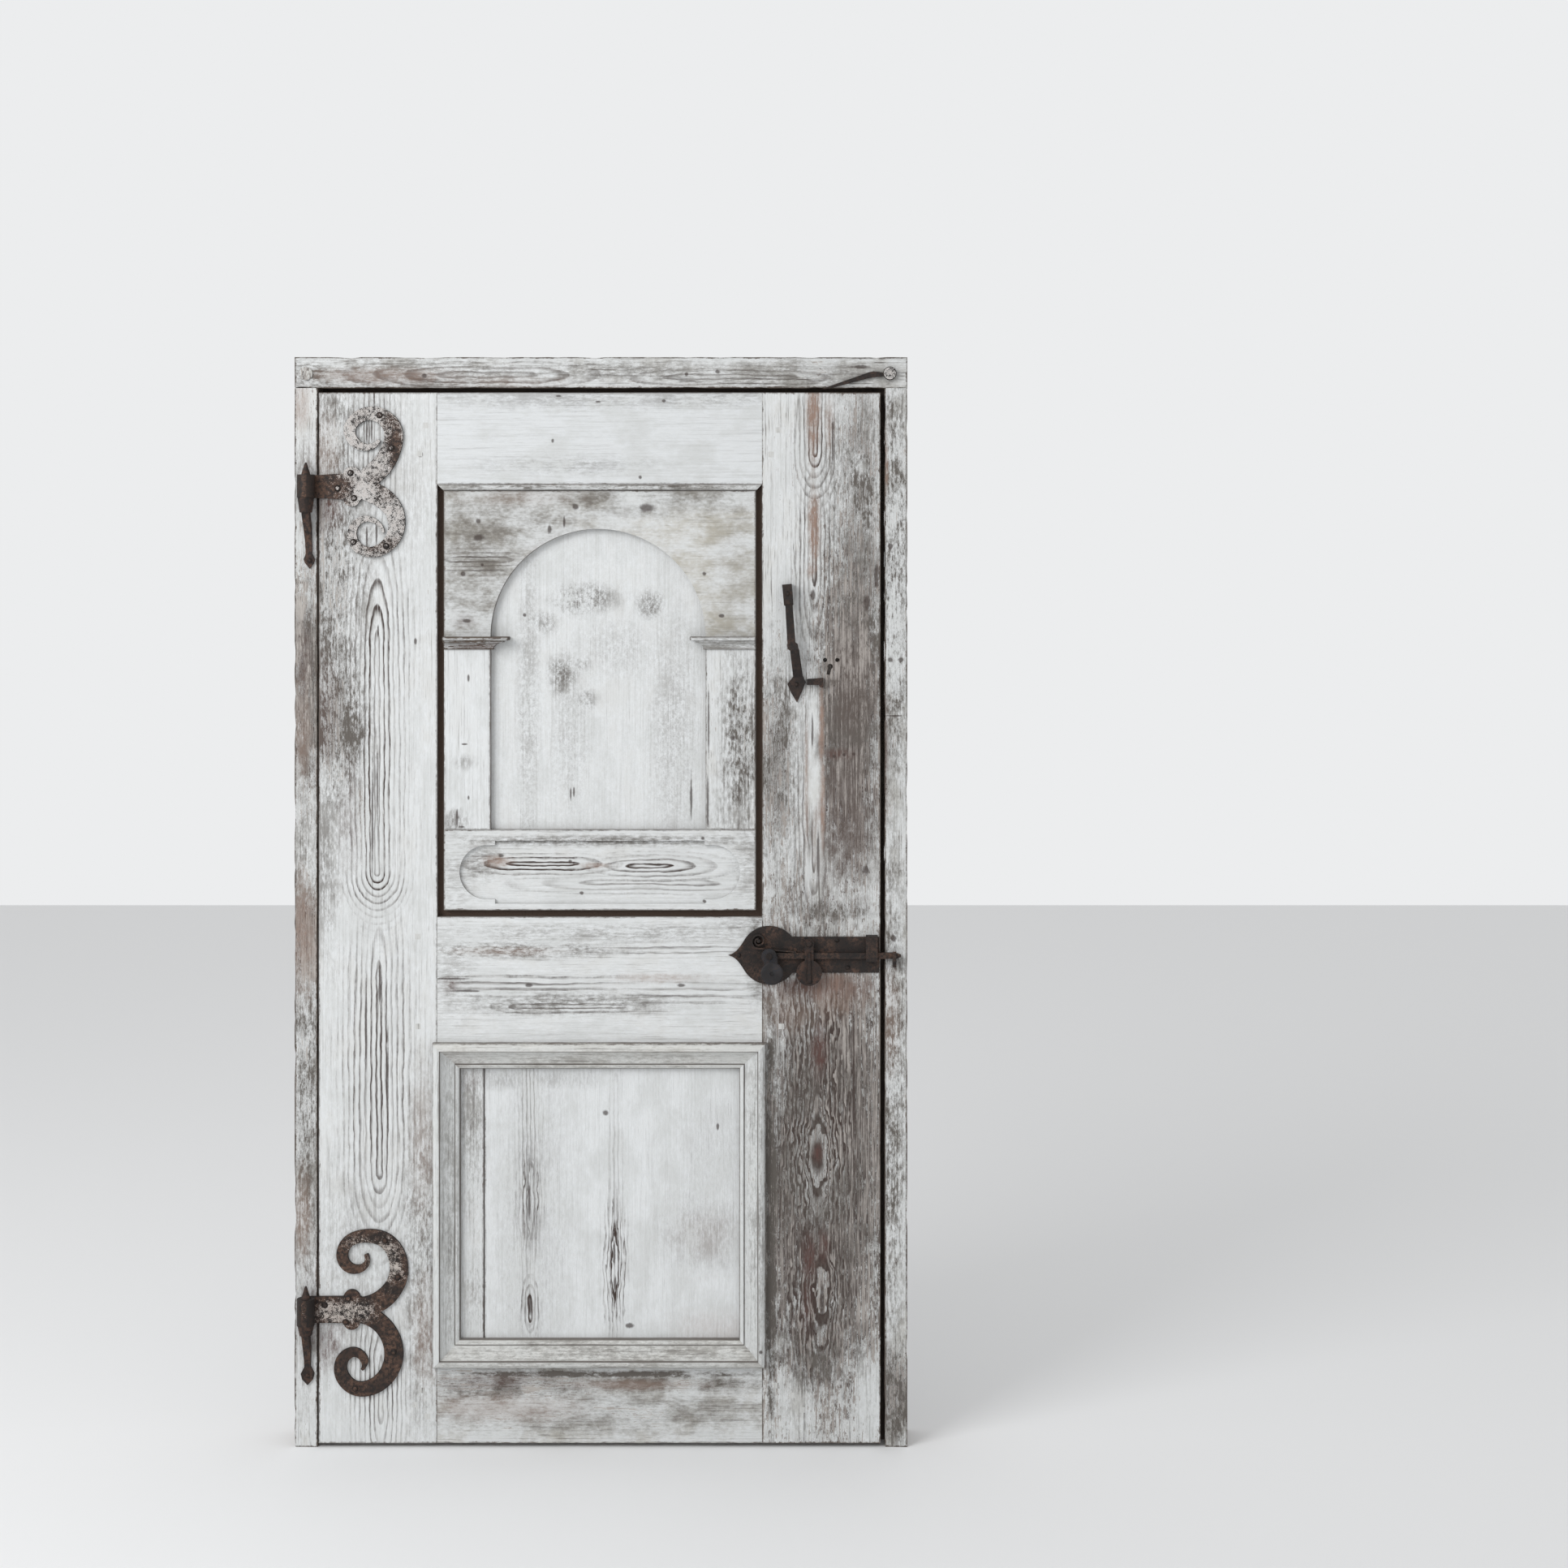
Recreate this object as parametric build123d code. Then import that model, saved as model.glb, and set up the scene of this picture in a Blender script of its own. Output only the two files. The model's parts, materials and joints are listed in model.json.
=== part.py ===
from build123d import *
from math import cos, sin, radians
import os

# An old limewashed pine door in its frame. The leaf is framed and panelled: two wide stiles and three
# rails hold a blind arch with pilasters above, and a moulded panel below. It hangs by two wrought strap
# hinges with scrolled ends on pintles, and is shut by a drop latch, a lock and a turning hook.
# X runs along the wall, Y goes into the wall, Z is up. The origin is at floor level in the middle of the
# frame, on the middle plane of the leaf. Lengths are in millimetres.

# Frame
frame_width = 1050.0
frame_height = 1868.0
frame_depth = 85.0
jamb_face = 39.0
header_face = 53.0
stop_width = 14.0
stop_gap = 1.0
frame_tenon_width = 24.0
frame_tenon_thickness = 26.0
frame_tenon_height = 38.0
frame_peg_radius = 7.0
frame_peg_head_radius = 11.5
frame_peg_head_height = 2.5
frame_peg_rise = 24.5

# Leaf: its members and the gaps round it
leaf_thickness = 36.0
leaf_proud = 1.0
hinge_gap = 2.5
lock_gap = 7.0
top_gap = 8.0
floor_gap = 7.0
stile_width = 203.0
bottom_rail_height = 138.0
lock_rail_height = 222.0
top_rail_height = 157.0
lower_opening_height = 542.0

# Joinery: grooves, tenons and the square pegs that lock them
groove_depth = 12.0
panel_play = 2.0
tenon_thickness = 12.0
tenon_depth = 12.0
tenon_margin = 15.0
twin_tenon_height = 38.0
peg_size = 9.5
lock_rail_peg_setback = 33.0

# The square pegs of the outer joints: how far from the panels' edge, and from the leaf's top or bottom
top_left_pegs = [(30.5, 104.5), (19.5, 56.0)]
top_right_pegs = [(15.5, 106.0), (28.0, 64.0)]
bottom_left_pegs = [(38.0, 66.0), (26.0, 90.5), (16.5, 46.0)]
bottom_right_pegs = [(24.0, 98.5), (52.5, 82.0), (68.5, 57.0)]

# Blind arch in the upper opening
relief_margin = 11.0
relief_depth = 2.0
relief_thickness = 12.0
niche_board_thickness = 12.0
arch_radius = 184.5
arch_shift = -3.0
spandrel_height = 250.0
impost_height = 22.0
impost_projection = 18.0
left_impost_nose = 32.0
right_impost_nose = 26.0
base_board_height = 138.0
cartouche_rise = 65.0
cartouche_half_height = 54.0
cartouche_half_run = 179.5
cartouche_end_radius = 46.5
cartouche_end_run = 14.5
cartouche_sink = 6.0
bead_front = 1.5
bead_quirk = 1.0
bead_round_share = 0.62

# The imposts' moulding, as shares of how far it stands out and of its height
impost_fillet_reach = 0.16
impost_cove_reach = 0.7
impost_fillet_level = 0.1667
impost_cove_level = 0.55
impost_step_level = 0.6667
impost_edge_level = 0.7333
impost_cove_bend = 1.1

# Moulded panel in the lower opening
moulding_overlap = 7.0
moulding_width = 46.0
moulding_height = 18.0
moulding_round = 11.0
moulding_ridge = 2.5
moulding_step = 3.0
moulding_bead = 8.0
moulding_cove_bend = 1.6
lower_panel_depth = 12.0
lower_panel_thickness = 12.0
narrow_board_width = 78.0
board_crack = 1.4

# Strap hinges and their pintles
hinge_axis_inset = 23.0
pin_radius = 8.0
eye_radius = 15.0
hinge_clearance = 0.3
strap_thickness = 5.0
strap_arm_height = 46.0
strap_arm_length = 92.0
strap_lobe_radius = 14.5
strap_lobe_spread = 20.0
strap_lobe_setback = 76.0
pin_tip_height = 21.0
pin_tip_radius = 1.5
collar_shoulder = 2.5
collar_inset = 1.0
tang_size = 9.0
tang_length = 46.0
tang_point = 14.0
tang_point_slope = 16.0
stem_width = 13.0
stem_thickness = 7.0
stem_root_depth = 6.0
stem_root_notch = 2.0
stem_throat = 12.0
stem_back_sweep = 24.0
stem_front_sweep = 46.0
stem_foot_thickness = 4.0
spade_bulge_share = 0.62
spade_taper = 0.8
spade_shoulder = 10.0
pintle_nail_share = 0.55
pintle_nail_seat = 4.0
pintle_nail_head_radius = 5.0

# What differs between the two hinges. A scroll is given by points along the middle of its band, each
# with the band's width: how far right of the pin, how far above the arm's middle, and how wide.
# The nails are given by place in the same way.
upper_hinge = dict(
    from_leaf_end=161.0, eye=39.0, collar=25.0, stem=96.0, spade_length=26.0, spade_width=19.0, lean=3.5,
    over=[(82, 6, 28), (119, 27, 36), (144, 66, 33), (146, 98, 31), (123.5, 122, 26), (90, 120.5, 22),
          (72, 94, 20), (84, 73, 16), (106, 67.5, 11), (123, 80, 5.5)],
    under=[(82, -2, 28), (120.5, -14.5, 36), (147, -40, 32), (152, -73, 28), (135, -102, 22.5),
           (103.5, -112, 17.5), (79, -95, 17.5), (80, -68, 14), (98, -55.5, 10.5), (119, -61.5, 8),
           (130, -79, 4)],
    nails=[(52, -3), (74, 23), (80, -20), (144, 66), (123.5, 122), (135, -102), (79, -95)],
)
lower_hinge = dict(
    from_leaf_end=230.0, eye=45.0, collar=17.0, stem=90.0, spade_length=32.0, spade_width=23.0, lean=0.0,
    over=[(88, 6, 30), (134, 22, 34), (155, 56, 32), (153, 92, 30), (133, 118.5, 26), (100, 126, 22.5),
          (66, 112, 20.5), (61, 85, 19.5), (76, 70, 17), (96, 73, 12), (100.5, 95, 7)],
    under=[(90, -8, 30), (130, -29, 31), (148, -72, 32.5), (140, -106, 31), (116, -130, 27.5),
           (82, -134.5, 24.5), (58.5, -111, 23), (62, -82.5, 20.5), (82, -73, 16), (96.5, -84, 13.5),
           (93, -103, 5)],
    nails=[(30, 8), (70, 20), (66, -21), (155, 56), (133, 118.5), (148, -72), (82, -134.5)],
)
hinges = {"upper": upper_hinge, "lower": lower_hinge}

# Forged nails with four-sided shanks and faceted heads
nail_shank = 4.2
nail_length = 24.0
nail_head_radius = 6.0
nail_head_height = 3.0
nail_head_slope = 40.0
nail_shank_taper = 1.5

# Drop latch
latch_pivot_shift = 12.5
latch_rise = 156.5
latch_plate_thickness = 3.0
latch_leaf_radius = 50.0
latch_tip_reach = 70.0
latch_tip_slope = 0.25
latch_shoulder_angle = 40.0
latch_lobe_radius = 18.0
latch_lobe_drop = 3.0
latch_plate_rise = 31.5
latch_plate_drop = 30.0
latch_plate_setback = 2.0
latch_layer_gap = 0.4
spindle_radius = 5.5
spindle_clearance = 0.25
spindle_rivet_height = 2.0
bar_height = 10.0
bar_thickness = 8.0
bar_boss_radius = 8.6
bar_end_reach = 28.0
bar_end_length = 9.0
bar_tip_rise = 1.5
bar_tip_drop = 2.0
guide_width = 20.0
guide_metal = 4.0
guide_setback = 5.0
guide_headroom = 26.0
guide_leg_depth = 16.0
knob_drop = 24.5
knob_shift = 6.0
knob_radius = 19.0
knob_reach = 50.0
knob_disc = 7.0
knob_neck_radius = 8.5
knob_bevel = 1.8
knob_dimple_radius = 3.5
knob_dimple_depth = 1.5
crank_boss_radius = 13.0
crank_thickness = 5.0
crank_end_radius = 11.5
spring_curl_radius = 14.0
spring_stud_play = 0.2
spring_half_turns = 3
spring_metal = 2.4
spring_width = 8.0
spring_left = 18.0
spring_rise = 25.5
spring_touch = 46.0
spring_lift = 0.3
spring_stud_radius = 3.0
keeper_thickness = 6.0
keeper_nose = 8.0
keeper_setback = 17.0
keeper_spike_length = 34.0
keeper_headroom = 3.0
keeper_lip_drop = 4.0
keeper_chin_drop = 12.0
keeper_root = 16.0
keeper_point_drop = 6.0
keeper_point_height = 3.0
small_nail_head_radius = 4.5
latch_nail_length = 18.0
back_washer_radius = 16.0
back_washer_thickness = 3.0

# The latch plate's nails: how far right of the spindle, and how far above it
latch_nail_places = [(-52.0, 0.0), (12.0, -41.0), (116.0, 26.0), (134.5, -21.0)]

# Keyhole and its swinging cover
keyhole_setback = 122.0
keyhole_drop = 28.5
keyhole_radius = 4.5
keyhole_slot = 5.0
keyhole_length = 20.0
keyhole_overlap = 4.0
cover_radius = 22.0
cover_arm_width = 15.0
cover_thickness = 3.5
cover_pivot_rise = 50.0
cover_eye_margin = 2.0
cover_rib_start = 14.0
cover_rib_top_width = 7.0
cover_rib_foot_width = 10.0
cover_rib_margin = 4.0
cover_rib_height = 2.5
rivet_radius = 3.5
rivet_play = 0.3
rivet_shoulder_radius = 5.0
rivet_head_radius = 6.5
rivet_head_height = 3.0
rivet_head_slope = 35.0

# Lock let into the back of the lock stile
lock_case_margin = 18.0
lock_case_drop = 4.0
lock_case_height = 66.0
lock_case_thickness = 15.0
lock_bolt_height = 16.0
lock_bolt_thickness = 8.0
lock_bolt_length = 96.0
lock_bolt_throw = 18.0
lock_bolt_drop = 12.0
lock_bolt_play = 0.4
bolt_mortise_play = 1.5

# Turning hook on the header, pull handle and its stub, and the old lock holes
hook_thickness = 4.0
hook_eye_radius = 11.0
hook_stud_radius = 6.0
hook_head_radius = 11.5
hook_head_height = 3.0
hook_head_bevel = 1.2
hook_shoulder_radius = 9.0
hook_play = 0.3
hook_standoff = 1.7
hook_edge = 30.0
hook_drop = 28.5
handle_setback = 160.0
handle_top = 1478.5
handle_tilt = 5.4
handle_reach = 24.0
handle_grip = 8.0
handle_foot = 3.5
handle_depth = 40.0
handle_block = 28.0
handle_block_edge = 33.0
handle_grip_start = 36.0
handle_hollow_top = 40.0
handle_hollow_bottom = 118.0
handle_collar_top = 104.0
handle_collar_bottom = 112.0
handle_collar_rise = 2.0
handle_knee = 124.0
handle_knee_drop = 3.0
handle_foot_top = 160.0
handle_foot_swell = 1.5
handle_end = 210.0
handle_nail_places = [(16.0, 24.0), (172.0, 4.5)]
handle_nail_grip = 16.0
stub_setback = 34.0
stub_length = 28.0
stub_thickness = 9.0
stub_drop = 167.0
stub_half_height = 5.0
stub_head_length = 8.0
stub_head_slope = 3.0
stub_head_drop = 9.0
stub_head_rise = 7.0
old_hole_radius = 3.6
old_hole_depth = 12.0
old_hole_setback = 95.0
old_hole_height = 1349.0
old_hole_spacing = 21.0
old_slot_shift = 7.35
old_slot_drop = 17.0
old_slot_lean = 14.0
old_slot_width = 6.0
old_slot_length = 17.0
old_slot_top = 6.0
old_slot_radius = 4.6

# Outlines on the face: the hook's upper and lower edge to the left of its stud, and the pull
# handle's right and left edge downwards from the middle of its top
hook_over = [(0, 4.5), (-12, 1.8), (-28, 3.9), (-35, 2.3), (-70, -9.9), (-106, -22.7), (-116, -26.8)]
hook_under = [(-104, -25.8), (-70, -16.7), (-36, -7.8), (-29, -6.8), (-12, -4.6), (0, -4.5)]
handle_right = [(8, 0), (8, -35), (6.5, -37), (5.5, -100), (9, -103), (9.5, -110), (10.5, -113),
                (12, -158), (16, -170), (8, -186)]
handle_left = [(-10, -187), (-15.5, -170), (-4.5, -158), (-5, -113), (-9, -110), (-9.5, -103),
               (-8.5, -100), (-6, -37), (-8, -35), (-8, 0)]
handle_tip = (-2, -203)

# Planes and edges worked out from the sizes above
leaf_front = -leaf_thickness / 2
leaf_back = leaf_thickness / 2
frame_front = leaf_front + leaf_proud
frame_back = frame_front + frame_depth
opening_left = -frame_width / 2 + jamb_face
opening_right = frame_width / 2 - jamb_face
opening_top = frame_height - header_face
leaf_left = opening_left + hinge_gap
leaf_right = opening_right - lock_gap
leaf_bottom = floor_gap
leaf_top = opening_top - top_gap
field_left = leaf_left + stile_width
field_right = leaf_right - stile_width
lower_opening_bottom = leaf_bottom + bottom_rail_height
lower_opening_top = lower_opening_bottom + lower_opening_height
upper_opening_bottom = lower_opening_top + lock_rail_height
upper_opening_top = leaf_top - top_rail_height
hinge_x = -frame_width / 2 + hinge_axis_inset
hinge_y = leaf_front - eye_radius - leaf_proud
latch_pivot_x = field_right + latch_pivot_shift
latch_height = lower_opening_top + latch_rise
keyhole_x = leaf_right - keyhole_setback
keyhole_height = latch_height - keyhole_drop
hook_x = frame_width / 2 - hook_edge
hook_height = frame_height - hook_drop
handle_x = leaf_right - handle_setback
niche_board_front = leaf_front + relief_depth + relief_thickness
niche_board_back = niche_board_front + niche_board_thickness
lower_panel_front = leaf_front + lower_panel_depth
lower_panel_back = lower_panel_front + lower_panel_thickness
cut_slack = 5.0


def block(x0, x1, y0, y1, z0, z1):
    """A box between two corners."""
    size = Box(x1 - x0, y1 - y0, z1 - z0)
    return Pos((x0 + x1) / 2, (y0 + y1) / 2, (z0 + z1) / 2) * size


def facing(outward):
    """A plane parallel to the leaf's face, so far out of it towards the viewer."""
    return Plane.XZ.offset(outward - leaf_front)


def post(x, z, radius, inner, outer):
    """A round bar square to the leaf, between two distances out of its face."""
    return extrude(facing(inner) * Pos(x, z) * Circle(radius), amount=outer - inner)


# Frame: two jambs and a header, with stop strips nailed in behind the leaf


def jamb(side):
    """A jamb with its tenon into the header and the hole for the frame peg."""
    outer = side * frame_width / 2
    face = outer - side * jamb_face
    body = block(min(outer, face), max(outer, face), frame_front, frame_back, 0, opening_top)
    middle = (outer + face) / 2
    tenon = block(middle - frame_tenon_width / 2, middle + frame_tenon_width / 2,
                  *frame_tenon_span(), opening_top, opening_top + frame_tenon_height)
    return body + tenon - frame_peg_hole(side)


def side_stop(side):
    """The strip on a jamb that the leaf shuts against."""
    face = side * (frame_width / 2 - jamb_face)
    edge = face - side * stop_width
    return block(min(face, edge), max(face, edge), leaf_back + stop_gap, frame_back, 0, opening_top)


def head_stop():
    """The strip under the header, between the two side strips."""
    return block(opening_left + stop_width, opening_right - stop_width, leaf_back + stop_gap,
                 frame_back, opening_top - stop_width, opening_top)


def frame_tenon_span():
    """Where the jambs' tenons begin and end through the depth of the frame."""
    middle = (frame_front + frame_back) / 2
    return middle - frame_tenon_thickness / 2, middle + frame_tenon_thickness / 2


def frame_peg_place(side):
    """The centre of a peg through the header and a jamb's tenon."""
    return side * (frame_width / 2 - jamb_face / 2), opening_top + frame_peg_rise


def frame_peg_end():
    """How far the frame pegs reach into the frame, as a distance out of the leaf's face."""
    return leaf_front - frame_tenon_span()[1] - frame_peg_radius


def frame_peg_hole(side):
    x, z = (hook_x, hook_height) if side > 0 else frame_peg_place(side)
    radius = hook_stud_radius if side > 0 else frame_peg_radius
    return post(x, z, radius, frame_peg_end(), cut_slack)


def header():
    """The header over both jambs."""
    half = frame_width / 2
    body = block(-half, half, frame_front, frame_back, opening_top, frame_height)
    for side in (-1, 1):
        middle = side * (half - jamb_face / 2)
        body -= block(middle - frame_tenon_width / 2, middle + frame_tenon_width / 2,
                      *frame_tenon_span(), opening_top, opening_top + frame_tenon_height)
        body -= frame_peg_hole(side)
    return body


def frame_peg():
    """The round wooden peg at the header's left end, with its head left standing out."""
    x, z = frame_peg_place(-1)
    shank = post(x, z, frame_peg_radius, frame_peg_end(), -leaf_proud)
    head = post(x, z, frame_peg_head_radius, -leaf_proud, frame_peg_head_height - leaf_proud)
    return shank + chamfer(head.faces().sort_by(Axis.Y)[0].edges(), frame_peg_head_height / 3)


# Leaf: stiles, rails, tenons, grooves and pegs


def tenon_spans():
    """The bottom and top of each tenon, rail by rail."""
    low, high = upper_opening_bottom - tenon_margin, lower_opening_top + tenon_margin
    return {
        "bottom": [(leaf_bottom + tenon_margin, lower_opening_bottom - tenon_margin)],
        "lock": [(high, high + twin_tenon_height), (low - twin_tenon_height, low)],
        "top": [(upper_opening_top + tenon_margin, leaf_top - tenon_margin)],
    }


def tenons(rail, side):
    """The tenons of a rail, through one stile."""
    inner, outer = (field_left, leaf_left) if side < 0 else (field_right, leaf_right)
    front = leaf_front + tenon_depth
    return [block(min(inner, outer), max(inner, outer), front, front + tenon_thickness, low, high)
            for low, high in tenon_spans()[rail]]


def peg_places(side):
    """The centres of the square pegs down one stile."""
    edge = field_left if side < 0 else field_right
    high = top_left_pegs if side < 0 else top_right_pegs
    low = bottom_left_pegs if side < 0 else bottom_right_pegs
    places = [(edge + side * lock_rail_peg_setback, (z0 + z1) / 2) for z0, z1 in tenon_spans()["lock"]]
    places += [(edge + side * setback, leaf_top - down) for setback, down in high]
    return places + [(edge + side * setback, leaf_bottom + up) for setback, up in low]


def tenon_pegs(sides=(-1, 1)):
    """Square pegs that run right through the leaf's joints."""
    square = Rectangle(peg_size, peg_size)
    return [extrude(facing(0) * Pos(x, z) * square, amount=-leaf_thickness)
            for side in sides for x, z in peg_places(side)]


def grooves():
    """Grooves round both openings, as solids to cut from the stiles and rails."""
    upper = block(field_left - groove_depth, field_right + groove_depth, niche_board_front,
                  niche_board_back, upper_opening_bottom - groove_depth,
                  upper_opening_top + groove_depth)
    lower = block(field_left - groove_depth, field_right + groove_depth, lower_panel_front,
                  lower_panel_back, lower_opening_bottom - groove_depth,
                  lower_opening_top + groove_depth)
    return [upper, lower]


def cut(body, tools):
    """The body with each tool cut out of it."""
    for tool in tools:
        body -= tool
    return body


def stile(side):
    """A stile of the leaf, with mortises, peg holes, grooves and the holes of its ironwork."""
    low, high = (leaf_left, field_left) if side < 0 else (field_right, leaf_right)
    body = block(low, high, leaf_front, leaf_back, leaf_bottom, leaf_top)
    body = cut(body, grooves() + tenon_pegs([side]))
    for rail in tenon_spans():
        body = cut(body, tenons(rail, side))
    if side < 0:
        return cut(body, hinge_nails())
    lock = [lock_pocket(), keyhole_cut(), spindle_bore()]
    return cut(body, lock + latch_nails() + guide_legs() + handle_nails() + old_lock_holes())


def rail(name, low, high):
    """A rail between the stiles, with its tenons."""
    body = block(field_left, field_right, leaf_front, leaf_back, low, high)
    for side in (-1, 1):
        for tenon in tenons(name, side):
            body += tenon
    body = cut(body, grooves() + tenon_pegs() + [spindle_bore()])
    return cut(body, hinge_nails() + latch_nails() + guide_legs())


# Blind arch: niche board, spandrel, pilasters, imposts, base board and top bead

relief_left = field_left + relief_margin
relief_right = field_right - relief_margin
relief_middle = (relief_left + relief_right) / 2
arch_middle = relief_middle + arch_shift
relief_front = leaf_front + relief_depth
relief_bottom = upper_opening_bottom + relief_margin
relief_top = upper_opening_top - relief_margin
arch_spring_height = relief_top - spandrel_height
impost_middle = arch_spring_height - impost_height / 2
base_board_top = relief_bottom + base_board_height


def niche_board():
    """The board behind the arch, held in the grooves all round."""
    reach = groove_depth - panel_play
    return block(field_left - reach, field_right + reach, niche_board_front, niche_board_back,
                 upper_opening_bottom - reach, upper_opening_top + reach)


def spandrel():
    """The board over the imposts, with the arch sawn out of it."""
    board = block(relief_left, relief_right, relief_front, niche_board_front, impost_middle, relief_top)
    inner = -relief_depth - relief_thickness - cut_slack
    arch = post(arch_middle, arch_spring_height, arch_radius, inner, cut_slack)
    leg = block(arch_middle - arch_radius, arch_middle + arch_radius, relief_front - cut_slack,
                niche_board_front + cut_slack, impost_middle - cut_slack, arch_spring_height)
    return board - arch - leg


def pilaster(side):
    """A plain pilaster strip between the base board and the spandrel."""
    outer = relief_left if side < 0 else relief_right
    inner = arch_middle + side * arch_radius
    return block(min(outer, inner), max(outer, inner), relief_front, niche_board_front,
                 base_board_top, impost_middle)


def impost(side):
    """A moulded impost across a pilaster: its end is cut to the same moulding, and rests in the niche."""
    outer = relief_left if side < 0 else relief_right
    inner = arch_middle + side * arch_radius
    nose = left_impost_nose if side < 0 else right_impost_nose
    foot = arch_spring_height - impost_height
    run, depth = abs(inner - outer), niche_board_front - relief_front
    start = Plane(origin=(outer, relief_front, foot), x_dir=(0, -1, 0), z_dir=(-1, 0, 0))
    strip = extrude(start * impost_profile(impost_projection, depth), amount=run + nose, dir=(-side, 0, 0))
    end = impost_profile(nose, run)
    if side > 0:
        end = mirror(end, Plane.YZ)
    shaped = extrude(facing(-relief_depth - depth - cut_slack) * Pos(inner, foot) * end,
                     amount=depth + impost_projection + 2 * cut_slack)
    behind = block(min(outer, inner), max(outer, inner), relief_front, niche_board_front + cut_slack,
                   foot - cut_slack, arch_spring_height + cut_slack)
    return (strip & shaped) - behind


def impost_profile(reach, back):
    """The impost's moulding: a fillet, a cove, a step and a flat top edge, so far out and so deep."""
    low, high = reach * impost_fillet_reach, reach * impost_cove_reach
    fillet, cove = impost_height * impost_fillet_level, impost_height * impost_cove_level
    step, edge = impost_height * impost_step_level, impost_height * impost_edge_level
    lines = Line((-back, 0), (low, 0)) + Line((low, 0), (low, fillet))
    lines += RadiusArc((low, fillet), (high, cove), impost_cove_bend * (high - low))
    lines += Polyline((high, cove), (high, step), (reach, edge), (reach, impost_height),
                      (-back, impost_height), (-back, 0))
    return make_face(lines)


def cartouche():
    """The outline of the sunk field: a long panel with shouldered round ends."""
    tall = 2 * cartouche_half_height
    ends = cartouche_half_run + cartouche_end_run
    field = Rectangle(2 * cartouche_half_run, tall) + Rectangle(2 * ends, 2 * cartouche_end_radius)
    for side in (-1, 1):
        field += Pos(side * ends, 0) * Circle(cartouche_end_radius)
    return field


def base_board():
    """The board under the pilasters, with the cartouche sunk into it."""
    board = block(relief_left, relief_right, relief_front, niche_board_front,
                  relief_bottom, base_board_top)
    place = facing(-relief_depth) * Pos(relief_middle, relief_bottom + cartouche_rise)
    return board - extrude(place * cartouche(), amount=-cartouche_sink)


def mitred(piece, x0, x1, z0, z1, width, side):
    """A moulding cut to length with a mitre at each end, for one side of a rectangle."""
    corners = {
        "top": [(x0, z1), (x1, z1), (x1 - width, z1 - width), (x0 + width, z1 - width)],
        "bottom": [(x0, z0), (x1, z0), (x1 - width, z0 + width), (x0 + width, z0 + width)],
        "left": [(x0, z0), (x0, z1), (x0 + width, z1 - width), (x0 + width, z0 + width)],
        "right": [(x1, z0), (x1, z1), (x1 - width, z1 - width), (x1 - width, z0 + width)],
    }[side]
    outline = make_face(Polyline(*corners, close=True))
    deep = leaf_thickness + 2 * moulding_height
    return piece & extrude(facing(-leaf_thickness) * outline, amount=deep)


def top_bead():
    """The one glazing-like bead left round the relief, along the top."""
    height, back = relief_margin, leaf_front - niche_board_front
    round_part, flat = height * bead_round_share, bead_front - bead_quirk
    lines = Line((0, back), (0, flat))
    lines += Line((0, flat), (height - round_part, flat))
    lines += RadiusArc((height - round_part, flat), (height, bead_front - round_part), round_part)
    lines += Line((height, bead_front - round_part), (height, back))
    lines += Line((height, back), (0, back))
    start = Plane(origin=(field_right, leaf_front, upper_opening_top), x_dir=(0, 0, -1), z_dir=(-1, 0, 0))
    strip = extrude(start * make_face(lines), amount=field_right - field_left)
    return mitred(strip, field_left, field_right, upper_opening_bottom, upper_opening_top, height, "top")


# Lower panel: two boards and a bolection moulding in four mitred pieces

moulding_left = field_left - moulding_overlap
moulding_right = field_right + moulding_overlap
moulding_bottom = lower_opening_bottom - moulding_overlap
moulding_top = lower_opening_top + moulding_overlap


def lower_boards():
    """The lower panel's narrow and wide boards, shrunk apart by a crack."""
    reach = groove_depth - panel_play
    left, right = field_left - reach, field_right + reach
    split = field_left + narrow_board_width
    low, high = lower_opening_bottom - reach, lower_opening_top + reach
    narrow = block(left, split, lower_panel_front, lower_panel_back, low, high)
    wide = block(split + board_crack, right, lower_panel_front, lower_panel_back, low, high)
    return narrow, wide


def moulding_section():
    """The bolection profile: how far in from its outer edge, and how far out of the leaf's face."""
    top, bulge = moulding_height, moulding_round
    ridge = bulge + moulding_ridge
    bead = moulding_width - moulding_bead
    half = moulding_bead / 2
    lines = Line((0, 0), (0, top - bulge))
    lines += RadiusArc((0, top - bulge), (bulge, top), bulge)
    lines += Polyline((bulge, top), (ridge, top), (ridge, top - moulding_step))
    lines += RadiusArc((ridge, top - moulding_step), (bead, 0), -moulding_cove_bend * (bead - ridge))
    lines += Line((bead, 0), (bead, half / 2))
    lines += RadiusArc((bead, half / 2), (moulding_width, -half), moulding_bead)
    lines += Polyline((moulding_width, -half), (moulding_width, -lower_panel_depth),
                      (moulding_overlap, -lower_panel_depth), (moulding_overlap, 0), (0, 0))
    return make_face(lines)


def moulding(side):
    """One side of the moulding round the lower panel."""
    wide = moulding_right - moulding_left
    tall = moulding_top - moulding_bottom
    y = leaf_front
    starts = {
        "left": (Plane((moulding_left, y, moulding_bottom), (1, 0, 0), (0, 0, 1)), tall),
        "right": (Plane((moulding_right, y, moulding_top), (-1, 0, 0), (0, 0, -1)), tall),
        "bottom": (Plane((moulding_right, y, moulding_bottom), (0, 0, 1), (-1, 0, 0)), wide),
        "top": (Plane((moulding_left, y, moulding_top), (0, 0, -1), (1, 0, 0)), wide),
    }
    plane, length = starts[side]
    section = plane * moulding_section()
    if plane.y_dir.Y > 0:
        section = section.mirror(Plane(origin=(0, y, 0), z_dir=(0, 1, 0)))
    strip = extrude(section, amount=length, dir=plane.z_dir)
    return mitred(strip, moulding_left, moulding_right, moulding_bottom, moulding_top,
                  moulding_width, side)


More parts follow.
